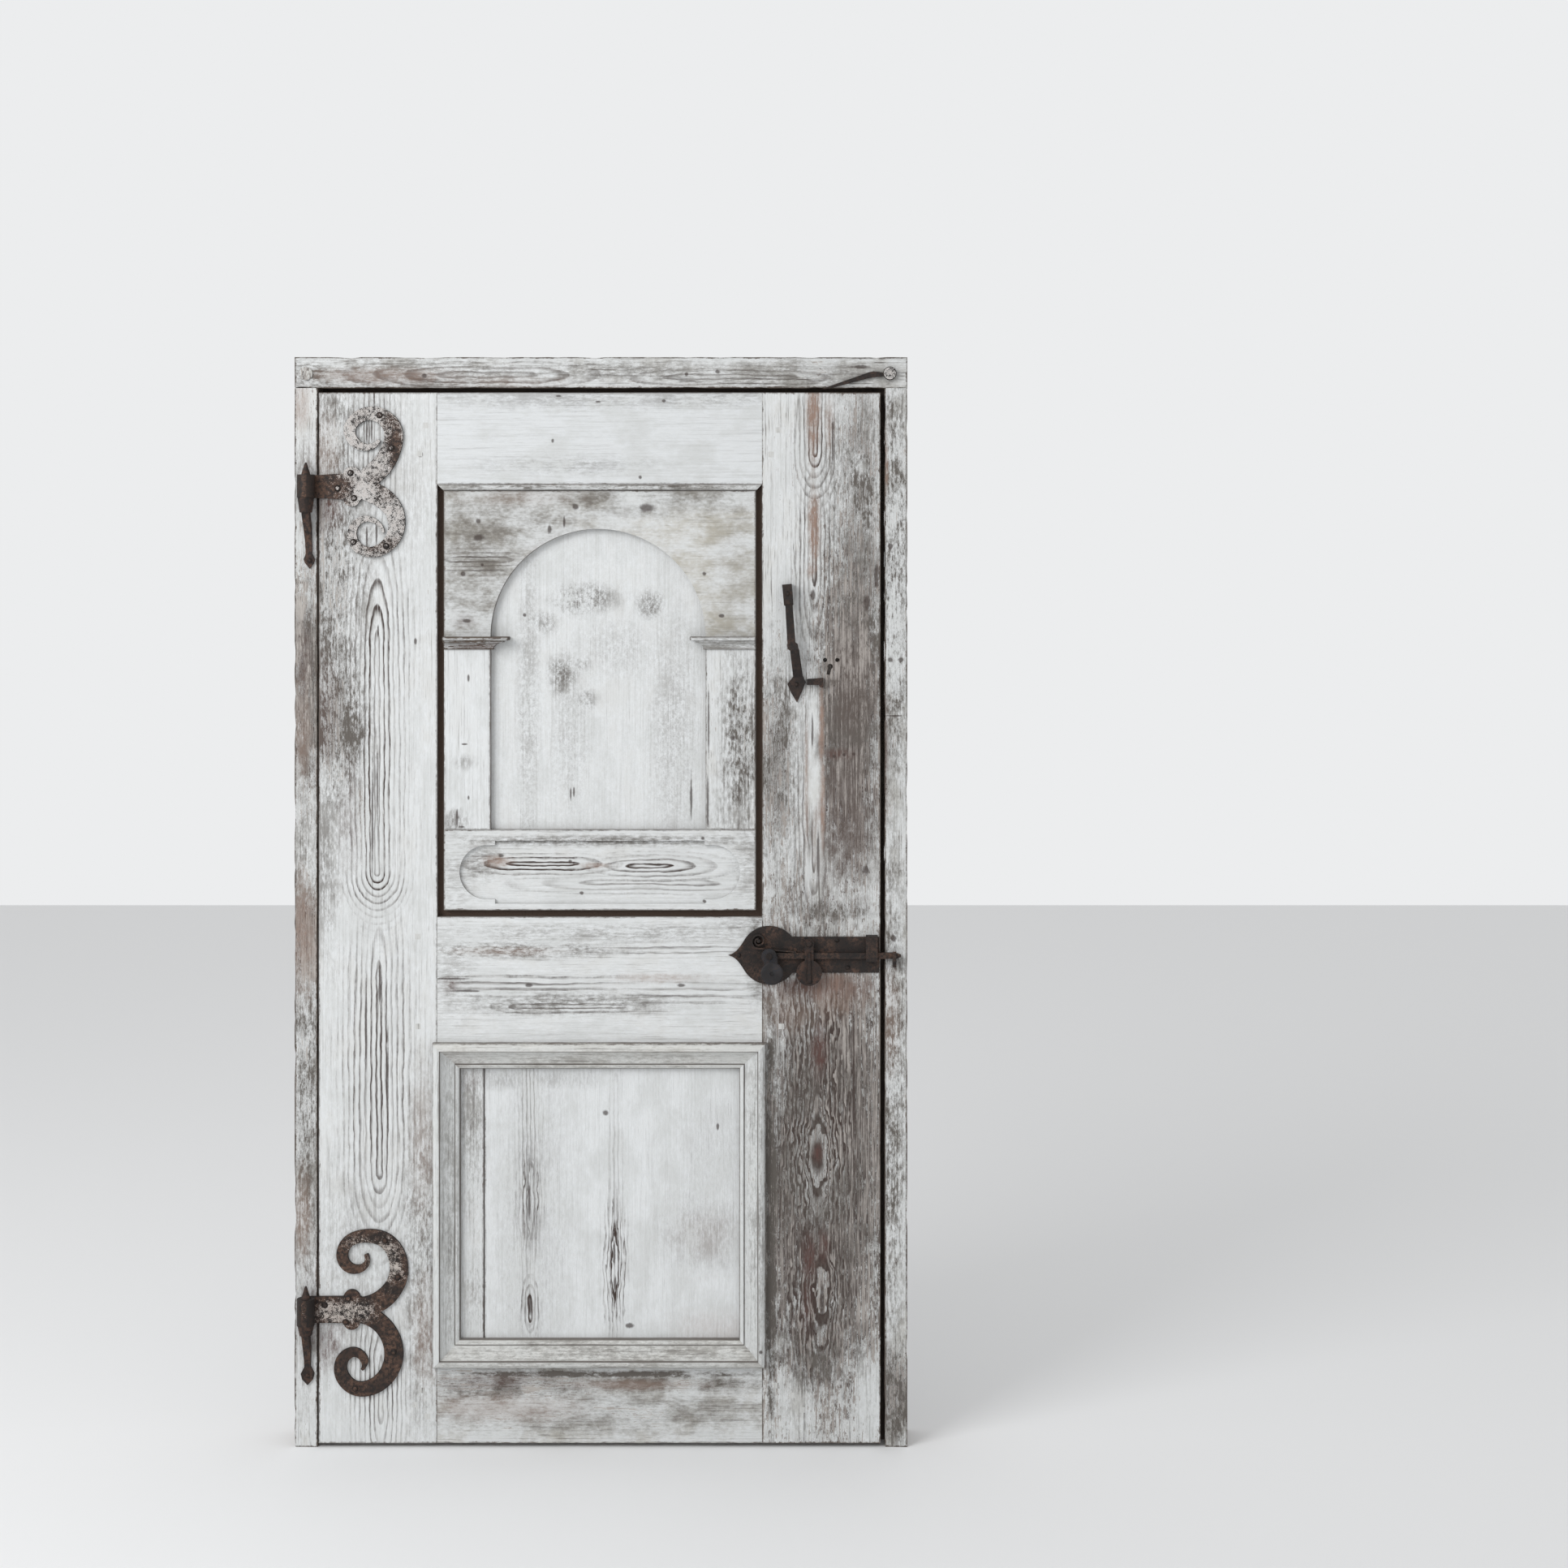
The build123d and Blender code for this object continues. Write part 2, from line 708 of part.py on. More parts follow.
# Nails


def nail(x, z, seat, length=nail_length, radius=nail_head_radius):
    """A forged nail driven square to the leaf, its head seated so far out of the face."""
    shank = extrude(facing(seat) * Pos(x, z) * Rectangle(nail_shank, nail_shank),
                    amount=-length, taper=nail_shank_taper)
    head = extrude(facing(seat) * Pos(x, z) * RegularPolygon(radius, 8),
                   amount=nail_head_height, taper=nail_head_slope)
    return shank + head


# Strap hinges


def scroll(stations):
    """The flat band of a scroll, from points along its middle and the band's width at each."""
    line = Spline(*[(x, z) for x, z, width in stations])
    over, under = [], []
    for x, z, width in stations:
        along = line % line.param_at_point((x, z))
        across = Vector(-along.Y, along.X) * (width / 2)
        over.append(Vector(x, z) + across)
        under.append(Vector(x, z) - across)
    under.reverse()
    edge = Spline(*over) + Line(over[-1], under[0]) + Spline(*under) + Line(under[-1], over[0])
    return make_face(edge)


def strap_height(which):
    """The height of a strap's arm, measured from the end of the leaf that it is nearer to."""
    if which == "upper":
        return leaf_top - upper_hinge["from_leaf_end"]
    return leaf_bottom + lower_hinge["from_leaf_end"]


def strap_nail_places(which):
    """Where the nails of a strap go, on the leaf."""
    return [(hinge_x + u, strap_height(which) + v) for u, v in hinges[which]["nails"]]


def hinge_nails():
    """The nails of both straps, through the straps and into the leaf."""
    return [nail(x, z, strap_thickness) for which in hinges for x, z in strap_nail_places(which)]


def strap(which):
    """A strap: rolled eye, arm with two lobes, and two scrolls, cut from one flat forging."""
    hinge = hinges[which]
    z, near, far = strap_height(which), hinge["eye"] / 2, strap_arm_height / 2
    shape = make_face(Polyline((0, near), (eye_radius, near), (strap_lobe_setback, far),
                               (strap_arm_length, far), (strap_arm_length, -far),
                               (strap_lobe_setback, -far), (eye_radius, -near), (0, -near), close=True))
    for lobe in (-1, 1):
        shape += Pos(strap_lobe_setback, lobe * strap_lobe_spread) * Circle(strap_lobe_radius)
    shape += scroll(hinge["over"])
    shape += scroll(hinge["under"])
    plate = extrude(facing(0) * Pos(hinge_x, z) * shape, amount=strap_thickness)
    eye = Pos(hinge_x, hinge_y, z) * Cylinder(eye_radius, hinge["eye"])
    bore = Pos(hinge_x, hinge_y, z) * Cylinder(pin_radius + hinge_clearance, hinge["eye"] + cut_slack)
    return cut(plate + eye - bore, [nail(x, h, strap_thickness) for x, h in strap_nail_places(which)])


def pintle_seat(which):
    """The height of the collar's top, that the strap's eye turns on."""
    return strap_height(which) - hinges[which]["eye"] / 2 - hinge_clearance


def pintle(which):
    """A pintle: pin, collar, tang into the jamb, and a stem with a spade foot on the jamb's face."""
    hinge = hinges[which]
    seat, collar = pintle_seat(which), hinge["collar"]
    top = strap_height(which) + hinge["eye"] / 2
    pin = Pos(hinge_x, hinge_y, (seat + top) / 2) * Cylinder(pin_radius, top - seat)
    tip = Pos(hinge_x, hinge_y, top + pin_tip_height / 2) * Cone(pin_radius, pin_tip_radius, pin_tip_height)
    cup = Cone(pin_radius + collar_shoulder, eye_radius - collar_inset, collar)
    cup = Pos(hinge_x, hinge_y, seat - collar / 2) * cup
    body = pin + tip + cup + pintle_tang(which) + pintle_stem(which)
    return cut(body, pintle_nails())


def pintle_tang(which):
    """The spike that runs from the collar back into the jamb."""
    z = pintle_seat(which) - hinges[which]["collar"] / 2
    half = tang_size / 2
    end = frame_front + tang_length - tang_point
    spike = block(hinge_x - half, hinge_x + half, hinge_y, end, z - half, z + half)
    start = Plane(origin=(hinge_x, end, z), x_dir=(1, 0, 0), z_dir=(0, 1, 0))
    return spike + extrude(start * Rectangle(tang_size, tang_size), amount=tang_point, taper=tang_point_slope)


def pintle_stem(which):
    """The stay from the collar down to the jamb: one outline from the side and one from the front."""
    hinge = hinges[which]
    top = pintle_seat(which) - hinge["collar"]
    foot = top - hinge["stem"]
    near = frame_front - stem_thickness
    side = Polyline((hinge_y - stem_root_depth, top), (hinge_y + stem_root_depth, top),
                    (frame_front, top - stem_back_sweep), (frame_front, foot),
                    (frame_front - stem_foot_thickness, foot), (near, top - stem_front_sweep),
                    (hinge_y - stem_root_notch, top - stem_throat), close=True)
    wide, half, lean = hinge["spade_width"] / 2, stem_width / 2, hinge["lean"]
    profile = Plane.YZ.offset(hinge_x - 2 * wide) * make_face(side)
    solid = extrude(profile, amount=4 * wide)
    waist, bulge = foot + hinge["spade_length"], foot + hinge["spade_length"] * spade_bulge_share
    right = [(half, top), (half * spade_taper, waist), (wide, bulge)]
    right.append((wide * spade_taper, foot + spade_shoulder))
    left = [(-u, v) for u, v in reversed(right)]
    outline = [(u + lean * (top - v) / hinge["stem"], v) for u, v in right + [(0, foot)] + left]
    front = make_face(Polyline(*outline, close=True))
    return solid & extrude(facing(-cut_slack) * Pos(hinge_x, 0) * front, amount=3 * eye_radius)


def pintle_nails():
    """One nail through each spade foot into the jamb."""
    nails = []
    for which, hinge in hinges.items():
        foot = pintle_seat(which) - hinge["collar"] - hinge["stem"]
        x, z = hinge_x + hinge["lean"], foot + hinge["spade_length"] * pintle_nail_share
        nails.append(nail(x, z, pintle_nail_seat, radius=pintle_nail_head_radius))
    return nails


# Drop latch

bar_inner = latch_plate_thickness + latch_layer_gap
bar_outer = bar_inner + bar_thickness
front_layer = bar_outer + latch_layer_gap
bar_bottom = latch_height - bar_height / 2
guide_x = leaf_right - guide_setback - guide_width / 2
keeper_x = opening_right + keeper_setback
bar_length = opening_right + bar_end_reach - latch_pivot_x


def latch_plate_outline():
    """A round plate drawn out to a point on one side, and a long plate to the leaf's edge on the other."""
    right = leaf_right - latch_plate_setback
    long_plate = Pos((latch_pivot_x + right) / 2, latch_height + (latch_plate_rise - latch_plate_drop) / 2)
    shape = long_plate * Rectangle(right - latch_pivot_x, latch_plate_rise + latch_plate_drop)
    shape += Pos(latch_pivot_x, latch_height) * Circle(latch_leaf_radius)
    lean = radians(latch_shoulder_angle)
    u, v = latch_leaf_radius * sin(lean), latch_leaf_radius * cos(lean)
    tip = (-latch_tip_reach, 0)
    over = Spline(tip, (-u, v), tangents=[(1, latch_tip_slope), (cos(lean), sin(lean))])
    under = Spline((-u, -v), tip, tangents=[(-cos(lean), sin(lean)), (-1, latch_tip_slope)])
    point = make_face(over + Line((-u, v), (-u, -v)) + under)
    shape += Pos(latch_pivot_x, latch_height) * point
    return shape + Pos(keyhole_x, keyhole_height - latch_lobe_drop) * Circle(latch_lobe_radius)


def latch_plate():
    plate = extrude(facing(0) * latch_plate_outline(), amount=latch_plate_thickness)
    tools = [spindle_bore(), keyhole_cut(), cover_rivet()] + latch_nails() + guide_legs() + [spring_stud()]
    return cut(plate, tools)


def latch_nails():
    """The nails that hold the latch plate."""
    return [nail(latch_pivot_x + u, latch_height + v, latch_plate_thickness, latch_nail_length,
                 small_nail_head_radius) for u, v in latch_nail_places]


def spindle_bore():
    """The hole for the spindle, through plate and leaf."""
    return post(latch_pivot_x, latch_height, spindle_radius + spindle_clearance,
                -leaf_thickness - cut_slack, latch_plate_thickness + cut_slack)


def latch_bar():
    """The latch bar: a boss on the spindle and a bar that drops into the keeper."""
    half, taper = bar_height / 2, bar_length - bar_end_length
    outline = make_face(Polyline((0, half), (taper, half), (bar_length, bar_tip_rise),
                                 (bar_length, -bar_tip_drop), (taper, -half), (0, -half), close=True))
    shape = outline + Circle(bar_boss_radius)
    place = facing(bar_inner) * Pos(latch_pivot_x, latch_height)
    return extrude(place * (shape - Circle(spindle_radius)), amount=bar_thickness)


def latch_spindle():
    """The spindle, right through the leaf, riveted over a washer behind."""
    back = -leaf_thickness - latch_layer_gap - back_washer_thickness
    front = front_layer + crank_thickness
    return post(latch_pivot_x, latch_height, spindle_radius, back - spindle_rivet_height,
                front + spindle_rivet_height)


def back_washer():
    """The washer that keeps the spindle from pulling out, on the leaf's back."""
    outer = -leaf_thickness - latch_layer_gap
    inner = outer - back_washer_thickness
    disc = post(latch_pivot_x, latch_height, back_washer_radius, inner, outer)
    return disc - post(latch_pivot_x, latch_height, spindle_radius, inner - 1, outer + 1)


def latch_knob():
    """The crank on the spindle with its knob, turned as one with the bar."""
    arm = Circle(crank_boss_radius) + Pos(knob_shift, -knob_drop) * Circle(crank_end_radius)
    arm += Pos(knob_shift / 2, -knob_drop / 2) * Rectangle(2 * knob_neck_radius + knob_shift, knob_drop)
    place = Pos(latch_pivot_x, latch_height)
    crank = extrude(facing(front_layer) * place * (arm - Circle(spindle_radius)), amount=crank_thickness)
    x, z = latch_pivot_x + knob_shift, latch_height - knob_drop
    inner = front_layer + crank_thickness
    neck = post(x, z, knob_neck_radius, inner, knob_reach - knob_disc)
    disc = post(x, z, knob_radius, knob_reach - knob_disc, knob_reach)
    disc = chamfer(disc.edges().filter_by(GeomType.CIRCLE), knob_bevel)
    dimple = post(x, z, knob_dimple_radius, knob_reach - knob_dimple_depth, knob_reach + cut_slack)
    return crank + neck + disc - dimple


def spring_stud_place():
    return latch_pivot_x - spring_left, latch_height + spring_rise


def spring_stud():
    """The stud that the curl of the spring is wrapped round, riveted in the plate."""
    x, z = spring_stud_place()
    return post(x, z, spring_stud_radius, 0, bar_outer)


def latch_spring():
    """A flat spring: it curls round its stud in widening half turns, and lies along the top of the bar."""
    near = spring_stud_radius + spring_stud_play + spring_metal / 2
    far = spring_curl_radius - spring_metal / 2
    reaches = [near + (far - near) * i / spring_half_turns for i in range(spring_half_turns + 1)]
    up = 1
    path = []
    for start, end in zip(reaches, reaches[1:]):
        middle, half = up * (start - end) / 2, (start + end) / 2
        path.append(ThreePointArc((0, up * start), (-up * half, middle), (0, -up * end)))
        up = -up
    touch = (spring_left + spring_touch, bar_height / 2 + spring_metal / 2 + spring_lift - spring_rise)
    path.append(Line((0, -far), touch))
    ribbon = trace(Curve() + path, line_width=spring_metal)
    x, z = spring_stud_place()
    return extrude(facing(bar_inner) * Pos(x, z) * ribbon, amount=spring_width)


def guide_spans():
    """The clear space inside the guide staple: bottom and top."""
    bottom = bar_bottom - latch_layer_gap
    return bottom, bottom + bar_height + guide_headroom


def guide_legs():
    """The guide staple's two legs, driven through the plate into the leaf."""
    low, high = guide_spans()
    legs = []
    for z0 in (low - guide_metal, high):
        leg = block(guide_x - guide_width / 2, guide_x + guide_width / 2, leaf_front - front_layer,
                    leaf_front + guide_leg_depth, z0, z0 + guide_metal)
        legs.append(leg)
    return legs


def guide_staple():
    """The staple that the bar rises and falls in."""
    low, high = guide_spans()
    bridge = block(guide_x - guide_width / 2, guide_x + guide_width / 2,
                   leaf_front - front_layer - guide_metal, leaf_front - front_layer,
                   low - guide_metal, high + guide_metal)
    top, bottom = guide_legs()
    return bridge + top + bottom


def keeper():
    """The keeper on the jamb: a spike, a seat under the bar and a sloped nose in front of it."""
    seat = bar_bottom - latch_layer_gap
    face = frame_front
    inner = leaf_front - bar_outer - latch_layer_gap
    tip = inner - keeper_nose
    side = Polyline((face, seat), (inner, seat), (inner, seat + bar_height + keeper_headroom),
                    (tip, seat - keeper_lip_drop), (tip + keeper_lip_drop, seat - keeper_chin_drop),
                    (face, seat - keeper_root), close=True)
    start = Plane.YZ.offset(keeper_x - keeper_thickness / 2)
    hook = extrude(start * make_face(side), amount=keeper_thickness)
    return hook + keeper_spike()


def keeper_spike():
    """The part of the keeper that is driven into the jamb."""
    seat = bar_bottom - latch_layer_gap
    point = frame_front + keeper_spike_length
    top, bottom = seat - keeper_point_drop, seat - keeper_point_drop - keeper_point_height
    side = Polyline((frame_front, seat), (point, top), (point, bottom), (frame_front, seat - keeper_root),
                    close=True)
    start = Plane.YZ.offset(keeper_x - keeper_thickness / 2)
    return extrude(start * make_face(side), amount=keeper_thickness)


# Keyhole, its cover and the lock behind

cover_pivot = keyhole_height + cover_pivot_rise


def keyhole_cut():
    """The keyhole: a round hole over a slot, through the plate and on to the lock."""
    outline = Pos(0, keyhole_length / 2 - keyhole_radius) * Circle(keyhole_radius)
    outline += Pos(0, -keyhole_overlap / 2) * Rectangle(keyhole_slot, keyhole_length - keyhole_overlap)
    place = facing(latch_plate_thickness + cut_slack) * Pos(keyhole_x, keyhole_height)
    return extrude(place * outline, amount=-leaf_thickness - 2 * cut_slack - latch_plate_thickness)


def keyhole_cover():
    """The cover: an eye, an arm with a raised rib and a round drop over the keyhole."""
    drop = -cover_pivot_rise
    flat = Circle(rivet_head_radius + cover_eye_margin) + Pos(0, drop) * Circle(cover_radius)
    flat += Pos(0, drop / 2) * Rectangle(cover_arm_width, -drop)
    place = facing(front_layer) * Pos(keyhole_x, cover_pivot)
    body = extrude(place * (flat - Circle(rivet_radius + rivet_play)), amount=cover_thickness)
    top, foot = cover_rib_top_width / 2, cover_rib_foot_width / 2
    low = drop - cover_radius + cover_rib_margin
    rib = make_face(Polyline((-top, -cover_rib_start), (top, -cover_rib_start), (foot, low), (-foot, low),
                             close=True))
    face = facing(front_layer + cover_thickness) * Pos(keyhole_x, cover_pivot)
    return body + extrude(face * rib, amount=cover_rib_height, taper=rivet_head_slope)


def cover_rivet():
    """The rivet that the cover swings on, with a shoulder that holds it in front of the bar."""
    inner = front_layer - latch_layer_gap
    outer = front_layer + cover_thickness + latch_layer_gap
    shank = post(keyhole_x, cover_pivot, rivet_radius, 0, outer)
    shoulder = post(keyhole_x, cover_pivot, rivet_shoulder_radius, latch_plate_thickness, inner)
    head = extrude(facing(outer) * Pos(keyhole_x, cover_pivot) * RegularPolygon(rivet_head_radius, 8),
                   amount=rivet_head_height, taper=rivet_head_slope)
    return shank + shoulder + head


lock_case_left = keyhole_x - lock_case_margin
lock_case_middle = keyhole_height - lock_case_drop


def lock_pocket():
    """The recess for the lock case in the back of the stile, open at the leaf's edge."""
    half = lock_case_height / 2
    return block(lock_case_left, leaf_right + cut_slack, leaf_back - lock_case_thickness,
                 leaf_back + cut_slack, lock_case_middle - half, lock_case_middle + half)


def bolt_block(left, right, slack):
    """A box along the bolt's way, so much larger than the bolt on every side."""
    y, z = leaf_back - lock_case_thickness / 2, lock_case_middle - lock_bolt_drop
    thick, tall = lock_bolt_thickness / 2 + slack, lock_bolt_height / 2 + slack
    return block(left, right, y - thick, y + thick, z - tall, z + tall)


def lock_case():
    """The lock case with the channel that its bolt runs in."""
    half = lock_case_height / 2
    case = block(lock_case_left, leaf_right, leaf_back - lock_case_thickness, leaf_back,
                 lock_case_middle - half, lock_case_middle + half)
    channel = bolt_block(leaf_right - lock_bolt_length - lock_bolt_play, leaf_right + cut_slack,
                         lock_bolt_play)
    return case - channel - keyhole_cut()


def lock_bolt():
    """The bolt, drawn back flush with the leaf's edge."""
    return bolt_block(leaf_right - lock_bolt_length, leaf_right - lock_bolt_play, 0)


def bolt_mortise():
    """The hole in the right jamb that the bolt is thrown into."""
    reach = lock_bolt_throw - lock_gap + bolt_mortise_play
    return bolt_block(opening_right - cut_slack, opening_right + reach, bolt_mortise_play)


# Turning hook, pull handle and old holes


def hook_stud():
    """The stud with a round head that the hook turns on, driven through header and tenon."""
    shank = post(hook_x, hook_height, hook_stud_radius, frame_peg_end(), hook_outer())
    shoulder = post(hook_x, hook_height, hook_shoulder_radius, -leaf_proud,
                    hook_standoff - leaf_proud - hook_play)
    head = post(hook_x, hook_height, hook_head_radius, hook_outer(), hook_outer() + hook_head_height)
    return shank + shoulder + chamfer(head.faces().sort_by(Axis.Y)[0].edges(), hook_head_bevel)


def hook_outer():
    """How far out of the leaf's face the stud's head begins."""
    return hook_standoff - leaf_proud + hook_thickness + hook_play


def top_hook():
    """The hook: an eye, a neck, a knee and a long taper that droops to the left."""
    shape = make_face(Polyline(*hook_over, *hook_under, close=True)) + Circle(hook_eye_radius)
    shape -= Circle(hook_stud_radius + hook_play)
    place = facing(hook_standoff - leaf_proud) * Pos(hook_x, hook_height)
    return extrude(place * shape, amount=hook_thickness)


def pull_handle():
    """A forged pull: a block foot, a tapered grip with a collar, and a spear foot."""
    face = make_face(Polyline(*handle_right, handle_tip, *handle_left, close=True))
    front = extrude(Plane.XZ * face, amount=handle_depth)
    under, grip_face = handle_reach - handle_grip, handle_reach - handle_collar_rise
    back = [(0, 0), (0, handle_block), (under, handle_hollow_top), (under, handle_hollow_bottom),
            (0, handle_foot_top), (0, handle_end), (handle_foot, handle_end)]
    near = [(handle_foot + handle_foot_swell, handle_foot_top), (handle_reach - handle_knee_drop, handle_knee),
            (handle_reach, handle_collar_bottom), (grip_face, handle_collar_top),
            (grip_face, handle_grip_start), (handle_reach, handle_block_edge), (handle_reach, 0)]
    profile = make_face(Polyline(*[(-out, -down) for out, down in back + near], close=True))
    grip = front & extrude(Plane.YZ.offset(-handle_depth / 2) * profile, amount=handle_depth)
    return cut(Pos(handle_x, leaf_front, handle_top) * Rot(0, -handle_tilt, 0) * grip, handle_nails())


def handle_stub():
    """The short flat stub beside the handle's spear foot."""
    x, z = handle_x + stub_setback, handle_top - stub_drop
    end, neck = x + stub_length, x + stub_length - stub_head_length
    outline = make_face(Polyline((x, z - stub_half_height), (neck, z - stub_half_height),
                                 (neck + stub_head_slope, z - stub_head_drop), (end, z - stub_head_drop),
                                 (end, z + stub_head_rise), (x, z + stub_half_height), close=True))
    return extrude(facing(0) * outline, amount=stub_thickness)


def handle_nails():
    """The nails through the handle's two feet."""
    tilt = radians(handle_tilt)
    nails = []
    for along, seat in handle_nail_places:
        x, z = handle_x + along * sin(tilt), handle_top - along * cos(tilt)
        nails.append(nail(x, z, seat, seat + handle_nail_grip, small_nail_head_radius))
    return nails


def old_lock_holes():
    """Two round nail holes and an old keyhole, left in the lock stile."""
    x = leaf_right - old_hole_setback
    holes = [post(x + i * old_hole_spacing, old_hole_height, old_hole_radius, -old_hole_depth, 1)
             for i in (0, 1)]
    slot = Pos(x + old_slot_shift, old_hole_height - old_slot_drop) * Rot(0, 0, -old_slot_lean)
    old = Rectangle(old_slot_width, old_slot_length) + Pos(0, old_slot_top) * Circle(old_slot_radius)
    holes.append(extrude(facing(1) * slot * old, amount=-old_hole_depth))
    return holes


def build():
    """Every piece of the door, by name."""
    narrow, wide = lower_boards()
    left = cut(jamb(-1), [pintle_tang("upper"), pintle_tang("lower")] + pintle_nails())
    right = cut(jamb(1), [bolt_mortise(), keeper_spike()])
    pieces = {
        "left_jamb": left,
        "right_jamb": right,
        "header": header(),
        "left_stop": side_stop(-1),
        "right_stop": side_stop(1),
        "head_stop": head_stop(),
        "frame_peg": frame_peg(),
        "hinge_stile": stile(-1),
        "lock_stile": stile(1),
        "top_rail": rail("top", upper_opening_top, leaf_top),
        "lock_rail": rail("lock", lower_opening_top, upper_opening_bottom),
        "bottom_rail": rail("bottom", leaf_bottom, lower_opening_bottom),
        "tenon_pegs": Compound(children=tenon_pegs()),
        "niche_board": niche_board(),
        "spandrel": spandrel(),
        "left_pilaster": pilaster(-1),
        "right_pilaster": pilaster(1),
        "left_impost": impost(-1),
        "right_impost": impost(1),
        "base_board": base_board(),
        "top_bead": top_bead(),
        "narrow_panel_board": narrow,
        "wide_panel_board": wide,
        "upper_strap": strap("upper"),
        "lower_strap": strap("lower"),
        "upper_pintle": pintle("upper"),
        "lower_pintle": pintle("lower"),
        "strap_nails": Compound(children=hinge_nails()),
        "pintle_nails": Compound(children=pintle_nails()),
        "latch_plate": latch_plate(),
        "latch_plate_nails": Compound(children=latch_nails()),
        "latch_bar": latch_bar(),
        "latch_spindle": latch_spindle(),
        "spindle_washer": back_washer(),
        "latch_knob": latch_knob(),
        "latch_spring": latch_spring(),
        "spring_stud": spring_stud(),
        "guide_staple": guide_staple(),
        "latch_keeper": keeper(),
        "keyhole_cover": keyhole_cover(),
        "cover_rivet": cover_rivet(),
        "lock_case": lock_case(),
        "lock_bolt": lock_bolt(),
        "top_hook": top_hook(),
        "hook_stud": hook_stud(),
        "pull_handle": pull_handle(),
        "handle_nails": Compound(children=handle_nails()),
        "handle_stub": handle_stub(),
    }
    for side in ("top", "bottom", "left", "right"):
        pieces[f"panel_moulding_{side}"] = moulding(side)
    return pieces


os.makedirs("parts", exist_ok=True)
for name, piece in build().items():
    export_step(piece, f"parts/{name}.step")
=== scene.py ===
# %% [markdown]
# An old limewashed pine door. The joiner's work comes as finished solids: this file gives each piece
# its surface, softens its edges and adds what is too fine for the solids. Every length is in metres,
# unless a name or a comment says millimetres.

import json
import math
import random

import bmesh
import bpy
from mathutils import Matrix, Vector, noise


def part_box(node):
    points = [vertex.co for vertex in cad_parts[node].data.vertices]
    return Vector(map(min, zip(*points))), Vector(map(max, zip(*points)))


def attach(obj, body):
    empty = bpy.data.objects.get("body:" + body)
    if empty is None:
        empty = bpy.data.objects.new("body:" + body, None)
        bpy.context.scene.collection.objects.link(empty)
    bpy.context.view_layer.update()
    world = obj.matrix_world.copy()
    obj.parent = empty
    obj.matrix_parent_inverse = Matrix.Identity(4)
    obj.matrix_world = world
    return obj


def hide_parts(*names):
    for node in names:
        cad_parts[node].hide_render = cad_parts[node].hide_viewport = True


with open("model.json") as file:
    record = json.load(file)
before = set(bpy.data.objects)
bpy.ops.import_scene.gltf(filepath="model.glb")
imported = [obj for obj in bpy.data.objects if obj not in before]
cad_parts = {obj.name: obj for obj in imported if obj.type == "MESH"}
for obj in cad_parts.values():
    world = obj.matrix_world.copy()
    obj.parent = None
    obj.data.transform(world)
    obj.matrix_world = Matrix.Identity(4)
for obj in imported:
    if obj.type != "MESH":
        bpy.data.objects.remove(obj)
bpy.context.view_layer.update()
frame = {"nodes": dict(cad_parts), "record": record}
nodes = frame["nodes"]
MM = 0.001

# %% [markdown]
# The camera stands four metres off, a little to the right of the door's middle and at a standing
# person's eye height, and looks straight along Y. The view is shifted to the door instead of turned, as
# a view camera does it, so the door's uprights stay parallel.

# %% Camera
WALL_PLANE = -17.5 * MM
CAMERA_DISTANCE = 4.0
CAMERA_X = 0.417
CAMERA_HEIGHT = 1.458
PICTURE_WIDTH = 2.687
PICTURE_MIDDLE_X = 0.3137
PICTURE_MIDDLE_Z = 1.1364
SENSOR = 36.0
PICTURE_PIXELS = 1932
METRES_PER_PIXEL = PICTURE_WIDTH / PICTURE_PIXELS

camera_data = bpy.data.cameras.new("door_camera")
camera_data.sensor_width = SENSOR
camera_data.lens = SENSOR * CAMERA_DISTANCE / PICTURE_WIDTH
camera_data.shift_x = (PICTURE_MIDDLE_X - CAMERA_X) / PICTURE_WIDTH
camera_data.shift_y = (PICTURE_MIDDLE_Z - CAMERA_HEIGHT) / PICTURE_WIDTH
camera = bpy.data.objects.new("door_camera", camera_data)
camera.location = (CAMERA_X, WALL_PLANE - CAMERA_DISTANCE, CAMERA_HEIGHT)
camera.rotation_euler = (math.radians(90), 0, 0)
bpy.context.scene.collection.objects.link(camera)
bpy.context.scene.camera = camera
print("lens", round(camera_data.lens, 1), "mm")


def picture_place(pixel_x, pixel_y):
    """Where a pixel of the picture lies on the door's face, in millimetres along X and Z."""
    x = PICTURE_MIDDLE_X + (pixel_x - PICTURE_PIXELS / 2) * METRES_PER_PIXEL
    z = PICTURE_MIDDLE_Z - (pixel_y - PICTURE_PIXELS / 2) * METRES_PER_PIXEL
    return x / MM, z / MM


# %% [markdown]
# A large soft lamp stands to the left of the camera and above it, and a pale sky fills in from all
# round. Together they light a white board to just under white, so a colour shows about as it is written.

# %% Light
LAMP_SIZE = 2.4
LAMP_POWER = 104.0
LAMP_PLACE = Vector((-2.6, -3.0, 3.1))
LAMP_AIM = Vector((0.0, 0.0, 0.9))

lamp_data = bpy.data.lights.new("window_light", "AREA")
lamp_data.shape = "SQUARE"
lamp_data.size = LAMP_SIZE
lamp_data.energy = LAMP_POWER
lamp = bpy.data.objects.new("window_light", lamp_data)
lamp.location = LAMP_PLACE
lamp.rotation_euler = (LAMP_AIM - LAMP_PLACE).to_track_quat("-Z", "Y").to_euler()
bpy.context.scene.collection.objects.link(lamp)

bpy.context.scene.view_settings.view_transform = "Standard"
print("lamp of", LAMP_POWER, "W,", LAMP_SIZE, "m wide")

